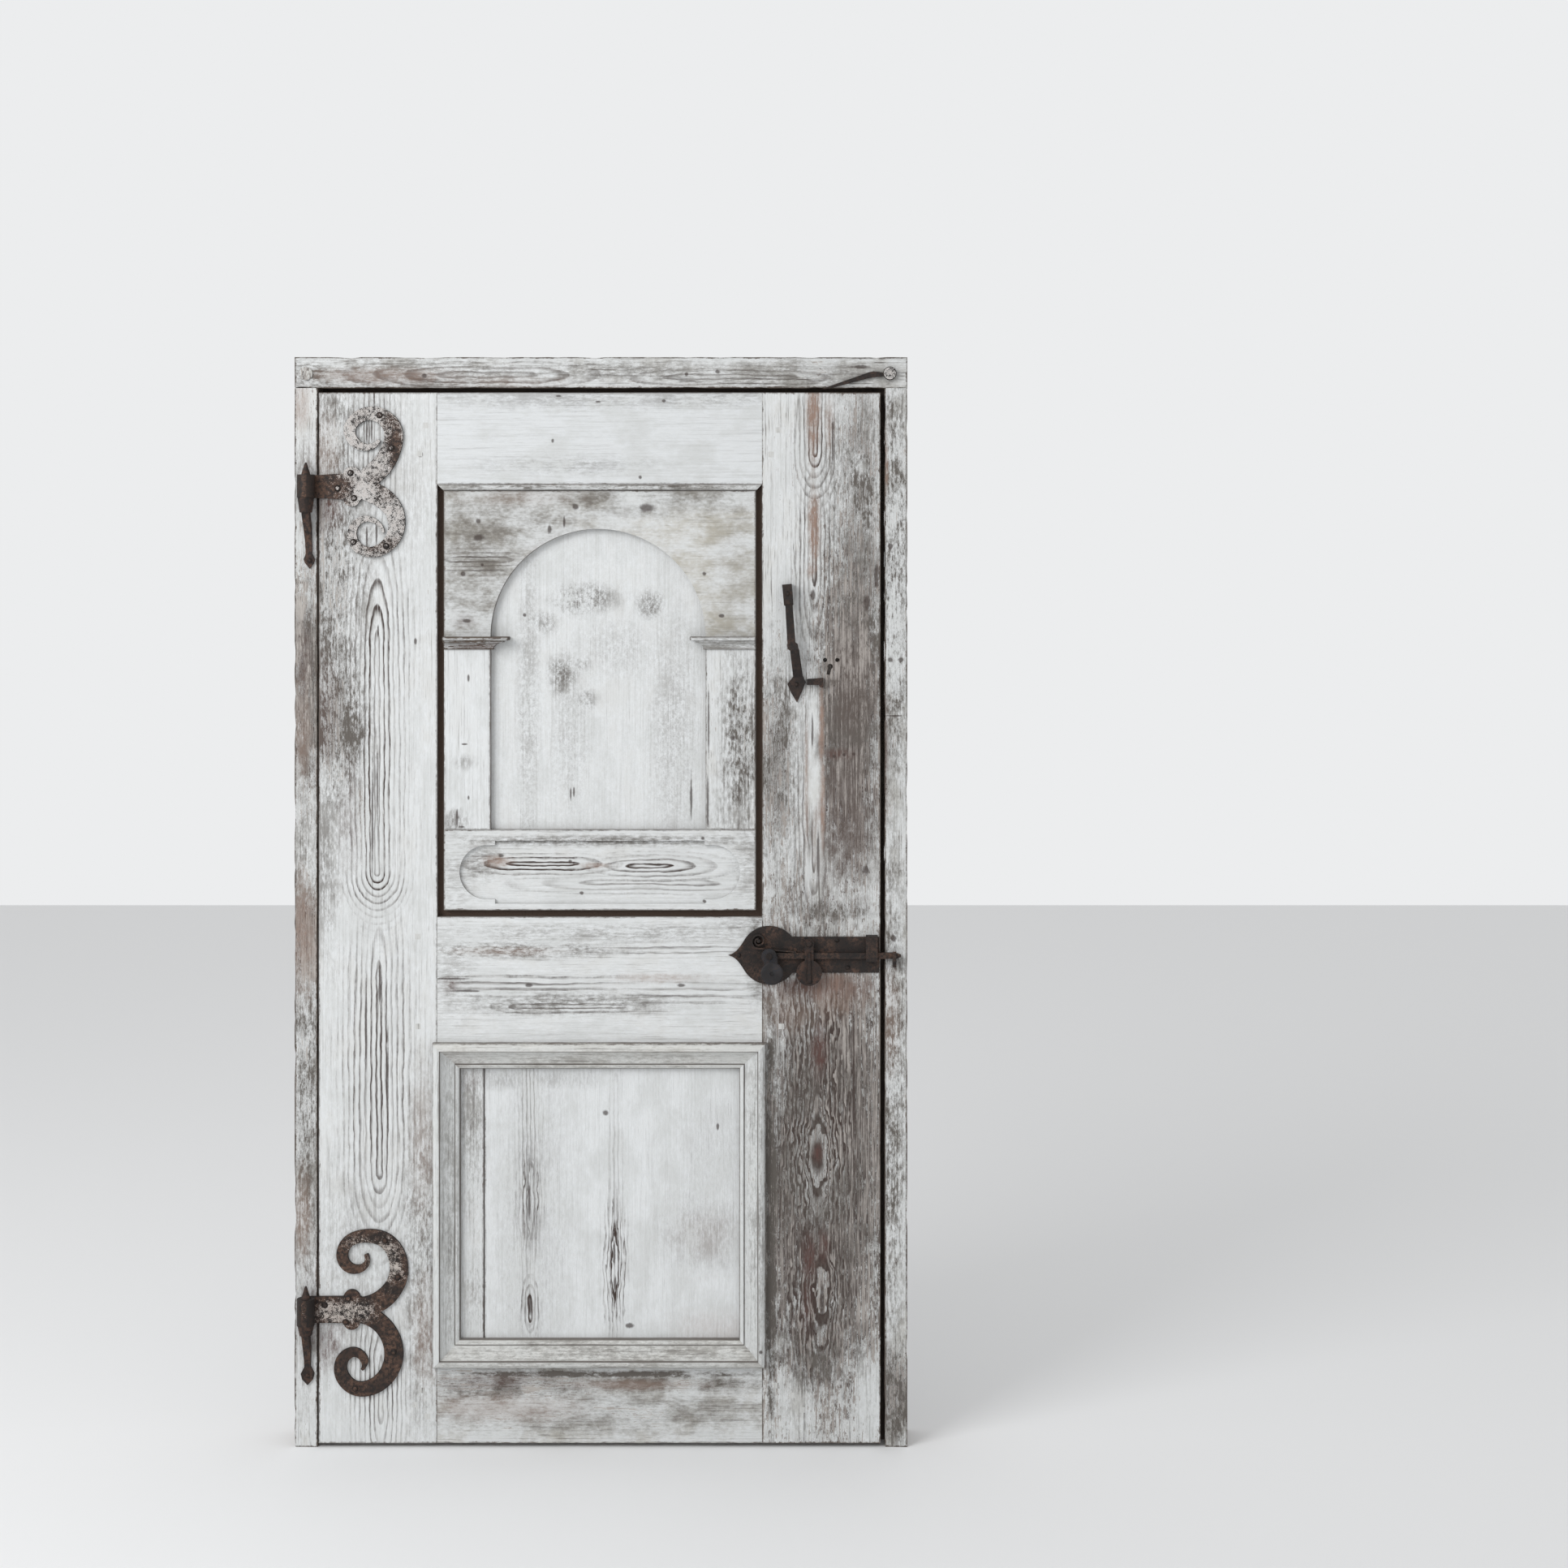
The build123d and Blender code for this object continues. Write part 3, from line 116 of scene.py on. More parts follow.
# %% [markdown]
# Materials are networks of nodes. Written out link by link, they are long and hard to read, so a few
# small classes keep them short. Network adds any node, sets it up and links it. Value wraps the output
# of a node that carries a number, so that ordinary arithmetic adds Math nodes. Surface is a Network for
# one material, with noise, mixed colours and the closing shader as its methods.

# %% Values that do arithmetic


class Value:
    """The output of a node that carries a number: arithmetic with it adds Math nodes."""

    def __init__(self, network, socket):
        self.network = network
        self.socket = socket

    def math(self, operation, *others, clamp=False):
        """Adds a Math node with this value as its first input."""
        settings = {"operation": operation, "use_clamp": clamp}
        return self.network.node("Math", settings, dict(enumerate((self,) + others))).value()

    def __add__(self, other):
        return self.math("ADD", other)

    __radd__ = __add__

    def __sub__(self, other):
        return self.math("SUBTRACT", other)

    def __rsub__(self, other):
        return self.network.node("Math", {"operation": "SUBTRACT"}, {0: other, 1: self}).value()

    def __mul__(self, other):
        return self.math("MULTIPLY", other)

    __rmul__ = __mul__

    def __truediv__(self, other):
        return self.math("DIVIDE", other)

    def root(self):
        return self.math("SQRT")

    def absolute(self):
        return self.math("ABSOLUTE")

    def fraction(self):
        return self.math("FRACT")

    def floor(self):
        return self.math("FLOOR")

    def smaller(self, other):
        return self.math("MINIMUM", other)

    def larger(self, other):
        return self.math("MAXIMUM", other)

    def clamped(self):
        """The value, held between 0 and 1."""
        return self.math("ADD", 0.0, clamp=True)

    def ramp(self, low, high, top=1.0):
        """0 where the value is at low, top where it is at high, and smooth between."""
        settings = {"interpolation_type": "SMOOTHSTEP"}
        return self.network.node("MapRange", settings, {0: self, 1: low, 2: high, 3: 0.0, 4: top}).value()


# %% A tree of nodes


class Made:
    """A node that has just been added, with its outputs at hand."""

    def __init__(self, network, node):
        self.network = network
        self.node = node

    def out(self, output=0):
        """An output as it is, for a colour, a vector or a shader."""
        return self.node.outputs[output]

    def value(self, output=0):
        """An output that carries a number, ready for arithmetic."""
        return Value(self.network, self.node.outputs[output])


class Network:
    """An empty tree of nodes, to which nodes are added one at a time."""

    def __init__(self, owner):
        owner.use_nodes = True
        self.tree = owner.node_tree
        self.tree.nodes.clear()

    def node(self, kind, settings=None, inputs=None):
        """Adds a node, sets it up, and links or sets its sockets."""
        node = self.tree.nodes.new("ShaderNode" + kind)
        for key, setting in (settings or {}).items():
            setattr(node, key, setting)
        for key, source in (inputs or {}).items():
            if isinstance(source, Value):
                source = source.socket
            if isinstance(source, bpy.types.NodeSocket):
                self.tree.links.new(source, node.inputs[key])
            else:
                node.inputs[key].default_value = source
        return Made(self, node)


# %% [markdown]
# The patterns read the object's own coordinates, in millimetres. Every solid keeps the whole door's
# origin, so a place measured in the picture means the same on each board. Noise is stretched by dividing
# the place by the size of the wanted feature. The ragged value is the noise that breaks up outlines.

# %% A material under construction
RAGGED_SIZE = (15.0, 15.0, 24.0)
RAGGED_DETAIL, RAGGED_SEED, RAGGED_ROUGH, RAGGED_SWING = 4.0, 12.3, 0.75, 1.5
WOOD_SHINE = 0.35


class Surface(Network):
    """A material under construction, with the object's own coordinates in millimetres."""

    def __init__(self, name):
        self.material = bpy.data.materials.new(name)
        super().__init__(self.material)
        own = self.node("TexCoord")
        in_mm = {0: own.out("Object"), 1: (1 / MM, 1 / MM, 1 / MM)}
        self.spot = self.node("VectorMath", {"operation": "MULTIPLY"}, in_mm).out()
        parts = self.node("SeparateXYZ", {}, {0: self.spot})
        self.x, self.y, self.z = [parts.value(axis) for axis in range(3)]
        self.flatness = self.node("SeparateXYZ", {}, {0: own.out("Normal")}).value(1).absolute()
        ragged = self.clouds(RAGGED_SIZE, RAGGED_DETAIL, RAGGED_SEED, RAGGED_ROUGH)
        self.ragged = (ragged - 0.5) * RAGGED_SWING

    def moved(self, scale, shift):
        """The point's place, scaled and then shifted."""
        settings = {"operation": "MULTIPLY_ADD"}
        return self.node("VectorMath", settings, {0: self.spot, 1: scale, 2: shift}).out()

    def clouds(self, size, detail, seed, rough=0.55):
        """Noise from 0 to 1, with features so many millimetres long in X, Y and Z."""
        place = self.moved([1 / length for length in size], (seed, -seed, 2 * seed))
        settings = {"Vector": place, "Scale": 1.0, "Detail": detail, "Roughness": rough}
        return self.node("TexNoise", {}, settings).value()

    def chance(self, value, seed):
        """A random number for each whole number of the value."""
        return self.node("TexWhiteNoise", {"noise_dimensions": "1D"}, {"W": value + seed}).value()

    def mix(self, first, second, factor):
        """The first colour where the factor is 0, and the second where it is 1."""
        return self.node("Mix", {"data_type": "RGBA"}, {0: factor, 6: first, 7: second}).out(2)

    def finish(self, color, roughness, height, lift, shine=WOOD_SHINE):
        """Makes the shader from a colour, a roughness and a relief of so many millimetres."""
        bump = self.node("Bump", {}, {"Height": height, "Strength": 1.0, "Distance": lift * MM})
        shader = self.node("BsdfPrincipled", {}, {
            "Base Color": color, "Roughness": roughness, "Normal": bump.out(), "Specular IOR Level": shine})
        self.node("OutputMaterial", {}, {0: shader.out()})
        return self.material


def strongest(values):
    """The largest of several values, at each point."""
    total = values[0]
    for value in values[1:]:
        total = total.larger(value)
    return total


# %% [markdown]
# The floor is a plain pale sheet. Where the camera looks past it, the sky shows as an even pale tone,
# which Light Path keeps apart from the light that the sky sends to the door: rays from the camera,
# mirrored rays and rays through glass see the pale tone, and all others meet the glow. Colours are
# written as a screen shows them, and turned into the linear numbers that light adds up in.

# %% Floor and sky
FLOOR_SIZE = 14.0
FLOOR_ROUGHNESS = 0.8
SKY_STRENGTH = 0.7


def linear(red, green, blue):
    """A colour as a screen shows it, from 0 to 255, as the linear colour that Blender wants."""
    levels = [level / 255 for level in (red, green, blue)]
    return tuple(c / 12.92 if c <= 0.04045 else ((c + 0.055) / 1.055) ** 2.4 for c in levels) + (1.0,)


PALE = linear(236, 237, 238)
WHITE = (1.0, 1.0, 1.0, 1.0)

floor_mesh = bpy.data.meshes.new("floor")
floor_bm = bmesh.new()
bmesh.ops.create_grid(floor_bm, x_segments=1, y_segments=1, size=FLOOR_SIZE / 2)
floor_bm.to_mesh(floor_mesh)
floor_bm.free()
floor = bpy.data.objects.new("floor", floor_mesh)
bpy.context.scene.collection.objects.link(floor)
floor_paint = bpy.data.materials.new("floor_paint")
floor_net = Network(floor_paint)
floor_shader = floor_net.node("BsdfPrincipled", {}, {"Base Color": PALE, "Roughness": FLOOR_ROUGHNESS})
floor_net.node("OutputMaterial", {}, {0: floor_shader.out()})
floor_mesh.materials.append(floor_paint)

sky = bpy.data.worlds.new("sky")
bpy.context.scene.world = sky
sky_net = Network(sky)
light_path = sky_net.node("LightPath")
seen = strongest([light_path.value(f"Is {ray} Ray") for ray in ("Camera", "Glossy", "Transmission")])
pale = sky_net.node("Background", {}, {"Color": PALE})
glow = sky_net.node("Background", {}, {"Color": WHITE, "Strength": SKY_STRENGTH})
either = sky_net.node("MixShader", {}, {0: seen, 1: glow.out(), 2: pale.out()})
sky_net.node("OutputWorld", {}, {0: either.out()})
print("floor", FLOOR_SIZE, "m wide, sky with", len(sky.node_tree.nodes), "nodes")

# %% [markdown]
# Wear is not even: hands, rain and the hinge's shadow each leave their own patch. A patch is an ellipse
# placed in the picture: pixel X, pixel Y, half width, half height and strength, all but the last
# in the picture's pixels. Noise added to the distance from its middle makes its outline ragged, as
# flaking wash is.

# %% Patches of wear


def patch(surface, pixel_x, pixel_y, half_width, half_height, strength, rim=0.75):
    """The strength inside an ellipse placed by the picture's pixels, falling to 0 across its ragged rim."""
    x, z = picture_place(pixel_x, pixel_y)
    wide, tall = half_width * METRES_PER_PIXEL / MM, half_height * METRES_PER_PIXEL / MM
    offset = surface.moved((1 / wide, 0.0, 1 / tall), (-x / wide, 0.0, -z / tall))
    length = surface.node("VectorMath", {"operation": "LENGTH"}, {0: offset}).value(1)
    return (length + surface.ragged).ramp(1 + rim, 1 - rim, strength)


def patches(surface, places):
    """The strongest of several patches."""
    return strongest([patch(surface, *place) for place in places])


# %% [markdown]
# Softwood sawn flat shows its year rings as nested arches, because the saw runs across cones that stand
# one inside the other. Each ring ends in a thin dark line of late wood. So a figure is a distance: the
# distance from a straight heart line, divided by the width of a ring. Every whole number is one ring,
# and the line lies just before it. A knot pushes the rings apart, so there the distance is taken from
# an eye instead of a line. Slow noise bends the rings, and finer noise makes them shiver.

# %% Wood figure
SWAY_SIZE = (45.0, 200.0)
SHIVER_SIZE = (9.0, 34.0)
LEAST_SHIVER, SHIVER_BY_EYE = 6.0, 0.8
FIRST_RING = 0.35
LINE_FULL, LINE_FADES, LINE_GONE = 0.84, 0.9, 1.0
WEAKEST_LINE, LINE_SPREAD = 0.6, 0.5


class Figure:
    """One set of arches: its middle in the picture, half its straight length and how slender it ends.

    Ring is the width of a year and sway how far the rings bend, both in millimetres. Eye is half a
    knot's width, and bold is where in each ring the dark line starts. The figure shows only inside its
    own patches, its places.
    """

    def __init__(self, pixel_x, pixel_y, straight, ends=(5.0, 5.0), ring=8.0, sway=6.0, eye=0.0, bold=0.5,
                 places=()):
        self.middle = picture_place(pixel_x, pixel_y)
        self.straight = straight * METRES_PER_PIXEL / MM
        self.ends = ends
        self.ring = ring
        self.sway = sway
        self.eye = eye * METRES_PER_PIXEL / MM
        self.shiver = LEAST_SHIVER + SHIVER_BY_EYE * self.eye
        self.bold = bold
        self.places = places


def grain_size(upright, across, along):
    """The size of a streak that runs along the grain, as lengths in X, Y and Z."""
    return (across, across, along) if upright else (along, across, across)


def ring_lines(surface, figure, upright, seed):
    """The late wood of a figure: 1 along each dark line, inside the figure's own patches."""
    x, z = figure.middle
    across, along = surface.x - x, surface.z - z
    if not upright:
        across, along = along, across
    sway = surface.clouds(grain_size(upright, *SWAY_SIZE), detail=1.0, seed=seed + 3.1)
    shiver = surface.clouds(grain_size(upright, *SHIVER_SIZE), detail=2.0, seed=seed + 7.7)
    across = across + (sway - 0.5) * 2 * figure.sway + (shiver - 0.5) * figure.shiver
    if figure.eye:
        swell = (along * along * (-1 / figure.straight ** 2)).math("EXPONENT") * figure.eye ** 2
        away = (across * across - swell).absolute().root()
    else:
        over = (along - figure.straight).larger(0.0) / figure.ends[0]
        under = (along * -1 - figure.straight).larger(0.0) / figure.ends[1]
        away = (across * across + over * over + under * under).root()
    rings = away / figure.ring + FIRST_RING
    share = rings.fraction()
    line = share.ramp(figure.bold, LINE_FULL) * (1 - share.ramp(LINE_FADES, LINE_GONE))
    strength = surface.chance(rings.floor(), seed) * LINE_SPREAD + WEAKEST_LINE
    return line * strength * patches(surface, figure.places)


# %% [markdown]
# Every board gets its own material from one recipe, in layers from the wood outwards: grey weathered
# wood with its fibres and figure, and over it a thin limewash. The wash is worn through along the hard
# late wood, flaked off in the patches that the board names, and dirty along its edges. The sides of a
# board, which face into the gaps, are unwashed wood darkened further with painted shade, the shadow
# that falls into the gaps.
#
# Four noises carry the whole recipe: long fibres, hair-fine cracks, broad clouds of wear and small
# flakes. A layer adds some of each to a number and keeps what lies above a threshold, so the layers
# break up in the same places, as real ones do. The weights and thresholds were set against the
# picture.

# %% Colours of the wood and of the wash
WASH = linear(225, 228, 230)
WASH_SHADE = linear(188, 189, 186)
SOIL = linear(172, 167, 154)
BARE_LIGHT = linear(176, 171, 166)
BARE_DARK = linear(66, 57, 54)
LATE_WOOD = linear(64, 53, 49)
GREY_STAIN_AND_SHADE = linear(96, 91, 86)
RUST_STAIN = linear(88, 64, 59)
TAN_STAIN = linear(146, 124, 112)
EDGE_DIRT_AND_SHADE = linear(80, 71, 64)
GAP_BROWN = linear(82, 67, 57)
RAW_SIDE = linear(124, 110, 97)
HAIR_CRACK = linear(90, 83, 77)

# %% Limewashed board
FIBRE_SIZE = (3.0, 120.0)
HAIR_SIZE = (1.4, 42.0)
CLOUD_SIZE = (55.0, 90.0)
FLAKE_WIDTH = 4.5
RIM_START, RIM_END, RIM_RAGGED = 0.2, 3.2, 9
MARK_STRENGTH, MARK_RIM = 0.8, 0.4
GAP_START, GAP_END = 1.5, 5.0
WOOD_ROUGHNESS, WASH_SMOOTHER = 0.86, -0.1
WOOD_RELIEF = 1.1


def edge_distance(surface, low, high):
    """How far a point lies inside a box, measured across the face."""
    x, z = surface.x, surface.z
    near_side = (x - low.x / MM).smaller(high.x / MM - x)
    return near_side.smaller((z - low.z / MM).smaller(high.z / MM - z))


def stained(surface, color, stain, places, share):
    """A colour with a stain over it, in the patches that a board names; a few grey patches lay painted
    shade instead.
    """
    if not places:
        return color
    return surface.mix(color, stain, (patches(surface, places) * share).clamped())


def limewashed(name, node, seed, cover, fibre, upright=True, figures=(), bare=(), kept=(), grey=(),
               rust=(), tan=(), white=(), marks=(), box=None, wash=WASH, tint=BARE_LIGHT, gap=1.0,
               side=GAP_BROWN, edge_wear=1.0, quirks=(), hairs=0.8, soil=0.2, streak=13.0, calm=0.0,
               bare_outside=None):
    """A board's material, from how much wash covers it and how much of its fibre shows through.

    Bare and kept are patches with less and more wash, the lists named after colours are stains, and
    marks are small dark spots and splits. In the white patches the wash is whole. Hairs, soil and
    edge_wear are the shares of cracks, of dirt and of wear along the edges of the box, which is the
    board's own unless another is given. Calm softens the wash and its stains, and streak is a flake's
    length in millimetres. Gap says how far the deep sides turn to their own colour, which is painted
    shade of the gaps over unwashed wood. Quirks are lines of painted shade, and a few grey patches are
    painted shade too.
    """
    s = Surface(name)
    fibres = s.clouds(grain_size(upright, *FIBRE_SIZE), detail=3.0, seed=seed + 1.3, rough=0.66)
    hair = s.clouds(grain_size(upright, *HAIR_SIZE), detail=3.0, seed=seed + 2.9, rough=0.64)
    cloud = s.clouds(grain_size(upright, *CLOUD_SIZE), detail=4.0, seed=seed + 4.1, rough=0.62)
    flake = s.clouds(grain_size(upright, FLAKE_WIDTH, streak), detail=4.0, seed=seed + 5.7, rough=0.78)
    low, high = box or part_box(node)

    # the wood, with its figure
    age = fibres.ramp(0.4, 0.58) * 0.75 + (hair - 0.5) * 2.2 + (cloud - 0.5) * 1.6 + 0.18
    wood = s.mix(tint, BARE_DARK, age.clamped())
    lines = 0.0
    if figures:
        lines = strongest([ring_lines(s, figure, upright, seed + i) for i, figure in enumerate(figures)])
    lines = (lines * (hair.ramp(0.28, 0.54) * 0.4 + 0.65)).clamped()
    wood = s.mix(wood, LATE_WOOD, lines)

    # the wash, uneven and soiled
    shade = (1 - cloud.ramp(0.36, 0.62)) * 0.5 + (fibres - 0.5) * 0.7 * (1 - calm) + (flake - 0.5) * 0.6
    paint = s.mix(wash, WASH_SHADE, shade.clamped())
    paint = s.mix(paint, SOIL, (cloud * 0.8 + flake * 0.2).ramp(0.4, 0.68) * soil)

    # how much of it is left
    field = cover + (flake - 0.5) * 1.5 + (fibres - 0.5) * 1.2 + (hair - 0.5) * 1.1 + (cloud - 0.5) * 0.8
    if bare:
        field = field - patches(s, bare)
    if kept:
        field = field + patches(s, kept)
    near = edge_distance(s, low, high)
    rim = 1 - (near + (flake - 0.5) * RIM_RAGGED).ramp(RIM_START, RIM_END)
    field = field - rim * 0.4 * edge_wear
    groups = cloud.ramp(0.46, 0.62)
    thin = fibres.ramp(0.54, 0.68) * (groups * 0.8 + 0.3) * fibre
    coat = (field.ramp(0.38, 0.54) * (1 - lines) * (1 - thin)).clamped()
    color = s.mix(wood, paint, coat)

    # cracks, stains, some painted shade and marks over both
    crack = hair.ramp(0.6, 0.69) * (groups * 0.9 + 0.12) * hairs
    color = s.mix(color, HAIR_CRACK, (crack * 0.8).clamped())
    mottle = (flake * 0.75 + cloud * 0.6 + fibres * 0.25).ramp(0.66, 0.96)
    mottle = mottle * (1 - calm) + cloud.ramp(0.3, 0.7) * calm
    # most grey patches are stains; those on the mouldings and a few on the lock stile and lock rail are
    # painted shade, some of them partly dirt
    color = stained(s, color, GREY_STAIN_AND_SHADE, grey, mottle)
    color = stained(s, color, RUST_STAIN, rust, mottle * 0.7 + 0.3)
    color = stained(s, color, TAN_STAIN, tan, mottle * 0.6 + 0.4)
    color = stained(s, color, paint, white, 1.0)
    for mark in marks:
        color = s.mix(color, LATE_WOOD, patch(s, *mark, MARK_STRENGTH, MARK_RIM))

    # dirt along the edges, painted shade in the quirks, and the dark of the gaps, partly painted shade
    color = s.mix(color, EDGE_DIRT_AND_SHADE, (rim * (1.15 - cloud) * edge_wear).clamped())
    # painted shade: a dark line along each quirk of the moulding
    for middle, width in quirks:
        line = ((near - middle).absolute() + (flake - 0.5) * width * 2).ramp(width * 1.5, width * 0.4, 0.8)
        color = s.mix(color, EDGE_DIRT_AND_SHADE, line)
    if bare_outside:
        color = s.mix(color, GAP_BROWN, edge_distance(s, *bare_outside).ramp(1.0, -1.0))
    # painted shade: sides that lie deeper than the front and face sideways turn to their side colour, as
    # the gap's shadow
    deep = (s.y - low.y / MM).ramp(GAP_START, GAP_END) * (1 - s.flatness.ramp(0.3, 0.8))
    color = s.mix(color, s.mix(side, wood, 0.3), deep * gap)
    height = fibres * 0.5 + flake * 0.6 + hair * 0.25
    return s.finish(color, coat * WASH_SMOOTHER + WOOD_ROUGHNESS, height, WOOD_RELIEF)


# %% [markdown]
# The solids arrive as loose triangles with knife-sharp edges. A worn copy merges them, cuts the long
# edges into short lengths, rounds them with a bevel and then eats into them unevenly. The copy then
# stands in for the solid. A Bevel modifier would round every edge alike, and a displacement would need
# a far finer mesh: cutting only across the board spends the faces where the wear is. Flat shading
# suits it: the facets are smaller than the eye sees, and the large faces stay truly flat.

# %% Worn copies of the solids
ALONG_X, ALONG_Z = 0, 2
MERGE = 0.01 * MM
FLAT_ANGLE = math.radians(0.5)
SHARP_ANGLE = math.radians(30)
STRAIGHT = 0.99
FIRST_CUT, NEXT_CUT, LAST_CUT = (0.4, 1.0), (0.6, 1.4), 0.3
SAME_PLACE = 1e-7
WEAR_SCALE, FINE_WEAR_SCALE, FINE_WEAR = 38, 3.1, 0.35
WEAR_SHIFT = 3.7
WORN_ZONE = 3
RECORD = frame["record"]
BODY_OF = {node: body for body, members in RECORD["behaviour"]["bodies"].items() for node in members}


def merged_copy(node):
    """A bmesh of a solid with its triangles joined and its flat faces made whole."""
    bm = bmesh.new()
    bm.from_mesh(nodes[node].data)
    bmesh.ops.remove_doubles(bm, verts=bm.verts, dist=MERGE)
    bmesh.ops.dissolve_limit(bm, angle_limit=FLAT_ANGLE, verts=bm.verts, edges=bm.edges)
    return bm


def cross_cuts(bm, axis, low, high, step, rng):
    """Cuts a mesh across one axis at uneven steps, so that its long edges can wear."""
    at = low + step * rng.uniform(*FIRST_CUT)
    while at < high - step * LAST_CUT:
        point, normal = Vector((0, 0, 0)), Vector((0, 0, 0))
        point[axis] = at
        normal[axis] = 1.0
        bmesh.ops.bisect_plane(bm, geom=bm.verts[:] + bm.edges[:] + bm.faces[:], dist=SAME_PLACE,
                               plane_co=point, plane_no=normal)
        at += step * rng.uniform(*NEXT_CUT)


def long_edges(bm, axis):
    """The outward sharp edges that run along one axis."""
    found = []
    for edge in bm.edges:
        if len(edge.link_faces) != 2:
            continue
        way = (edge.verts[1].co - edge.verts[0].co).normalized()
        if abs(way[axis]) > STRAIGHT and edge.calc_face_angle_signed(0.0) > SHARP_ANGLE:
            found.append(edge)
    return found


def bevelled(bm, edges, width):
    """Rounds edges by so many millimetres."""
    bmesh.ops.bevel(bm, geom=edges, offset=width * MM, segments=2, profile=0.5, affect="EDGES",
                    material=-1, clamp_overlap=True)


def replace(bm, node, material):
    """Turns a bmesh into the piece that stands in for a solid."""
    mesh = bpy.data.meshes.new(node + "_worn")
    bm.to_mesh(mesh)
    bm.free()
    mesh.materials.append(material)
    piece = bpy.data.objects.new(node + "_worn", mesh)
    bpy.context.scene.collection.objects.link(piece)
    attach(piece, BODY_OF[node])
    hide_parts(node)
    print(node, len(mesh.polygons), "faces, on", BODY_OF[node])


def worn_board(node, material, axis, seed, step=0.028, bevel=0.9, bite=0.6):
    """A worn copy of a board: its long edges are rounded and eaten into by so many millimetres."""
    rng = random.Random(seed)
    low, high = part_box(node)
    bm = merged_copy(node)
    cross_cuts(bm, axis, low[axis], high[axis], step, rng)
    bevelled(bm, long_edges(bm, axis), bevel)
    middle = (low + high) / 2
    across = [i for i in range(3) if i != axis]
    for vert in bm.verts:
        away = [min(vert.co[i] - low[i], high[i] - vert.co[i]) for i in across]
        if max(away) > WORN_ZONE * bevel * MM:
            continue
        place = vert.co * WEAR_SCALE + Vector((seed * WEAR_SHIFT, 0, 0))
        wear = noise.noise(place) + FINE_WEAR * noise.noise(place * FINE_WEAR_SCALE)
        for i in across:
            vert.co[i] -= math.copysign(max(0.0, wear) * bite * MM, vert.co[i] - middle[i])
    replace(bm, node, material)


# %% [markdown]
# The two stiles carry most of the door's character. The hinge stile shows two long figures through its
# wash, one above the other, and a grey patch down its outer edge. The lock stile has lost its wash down
# the outer half, where the weather reaches it: brown wood, a swirl above, and below it a knot with the
# rings pushed round it.
#
# All of it is placed by the picture: a patch as pixel X, pixel Y, half width, half height and strength,
# a mark the same without the strength, and a figure by the pixel of its middle. The boards could be
# painted on a picture instead, but a recipe stays sharp at any distance and needs no file.

# %% Hinge stile
hinge_wood = limewashed(
    "hinge_stile_wood", "hinge_stile", seed=1.0, cover=1.04, fibre=0.2, soil=0.3, hairs=0.5,
    figures=[Figure(465, 935, 140, (5.2, 1.4), 8.5, 5.0, bold=0.42,
                    places=[(463, 790, 36, 110, 1.0), (461, 960, 32, 140, 1.0), (463, 1092, 34, 26, 1.0)]),
             Figure(467, 1325, 118, (6.0, 2.6), 9.5, 6.0, bold=0.42, places=[(464, 1330, 40, 170, 1.0)]),
             Figure(452, 520, 70, (4.0, 4.0), 9.0, 3.0, places=[(455, 545, 30, 84, 0.8)]),
             Figure(469, 1712, 26, (5.0, 5.0), 8.0, 3.0, places=[(467, 1700, 34, 70, 1.0)])],
    bare=[(404, 720, 26, 250, 0.42), (410, 890, 30, 90, 0.5), (440, 960, 16, 130, 0.3),
          (398, 1640, 16, 90, 0.35), (470, 1500, 60, 30, 0.15), (430, 520, 40, 60, 0.15)],
    grey=[(412, 700, 36, 260, 1.1), (416, 890, 34, 90, 1.5), (400, 1040, 18, 110, 0.7),
          (524, 1560, 24, 170, 0.9), (440, 1570, 50, 110, 0.35), (430, 510, 60, 60, 0.5),
          (505, 620, 30, 100, 0.2)],
    rust=[(398, 620, 22, 26, 1.0), (396, 1652, 22, 26, 0.9), (403, 880, 12, 60, 0.4),
          (430, 1010, 12, 60, 0.3)],
    tan=[(526, 1640, 15, 60, 0.5), (402, 560, 14, 40, 0.4), (522, 1420, 14, 80, 0.35)],
    marks=[(512, 790, 1.6, 3.4), (518, 560, 3.0, 3.4), (459, 1010, 1.2, 74), (465, 972, 1.0, 44),
           (468, 1211, 1.6, 26), (466, 778, 1.0, 8), (451, 1260, 1.2, 60), (478, 1330, 1.0, 60),
           (461, 476, 1.1, 26), (452, 532, 1.0, 14), (458, 530, 1.0, 14), (452, 661, 1.0, 12),
           (464, 659, 1.0, 13)],
)
worn_board("hinge_stile", hinge_wood, ALONG_Z, seed=3)

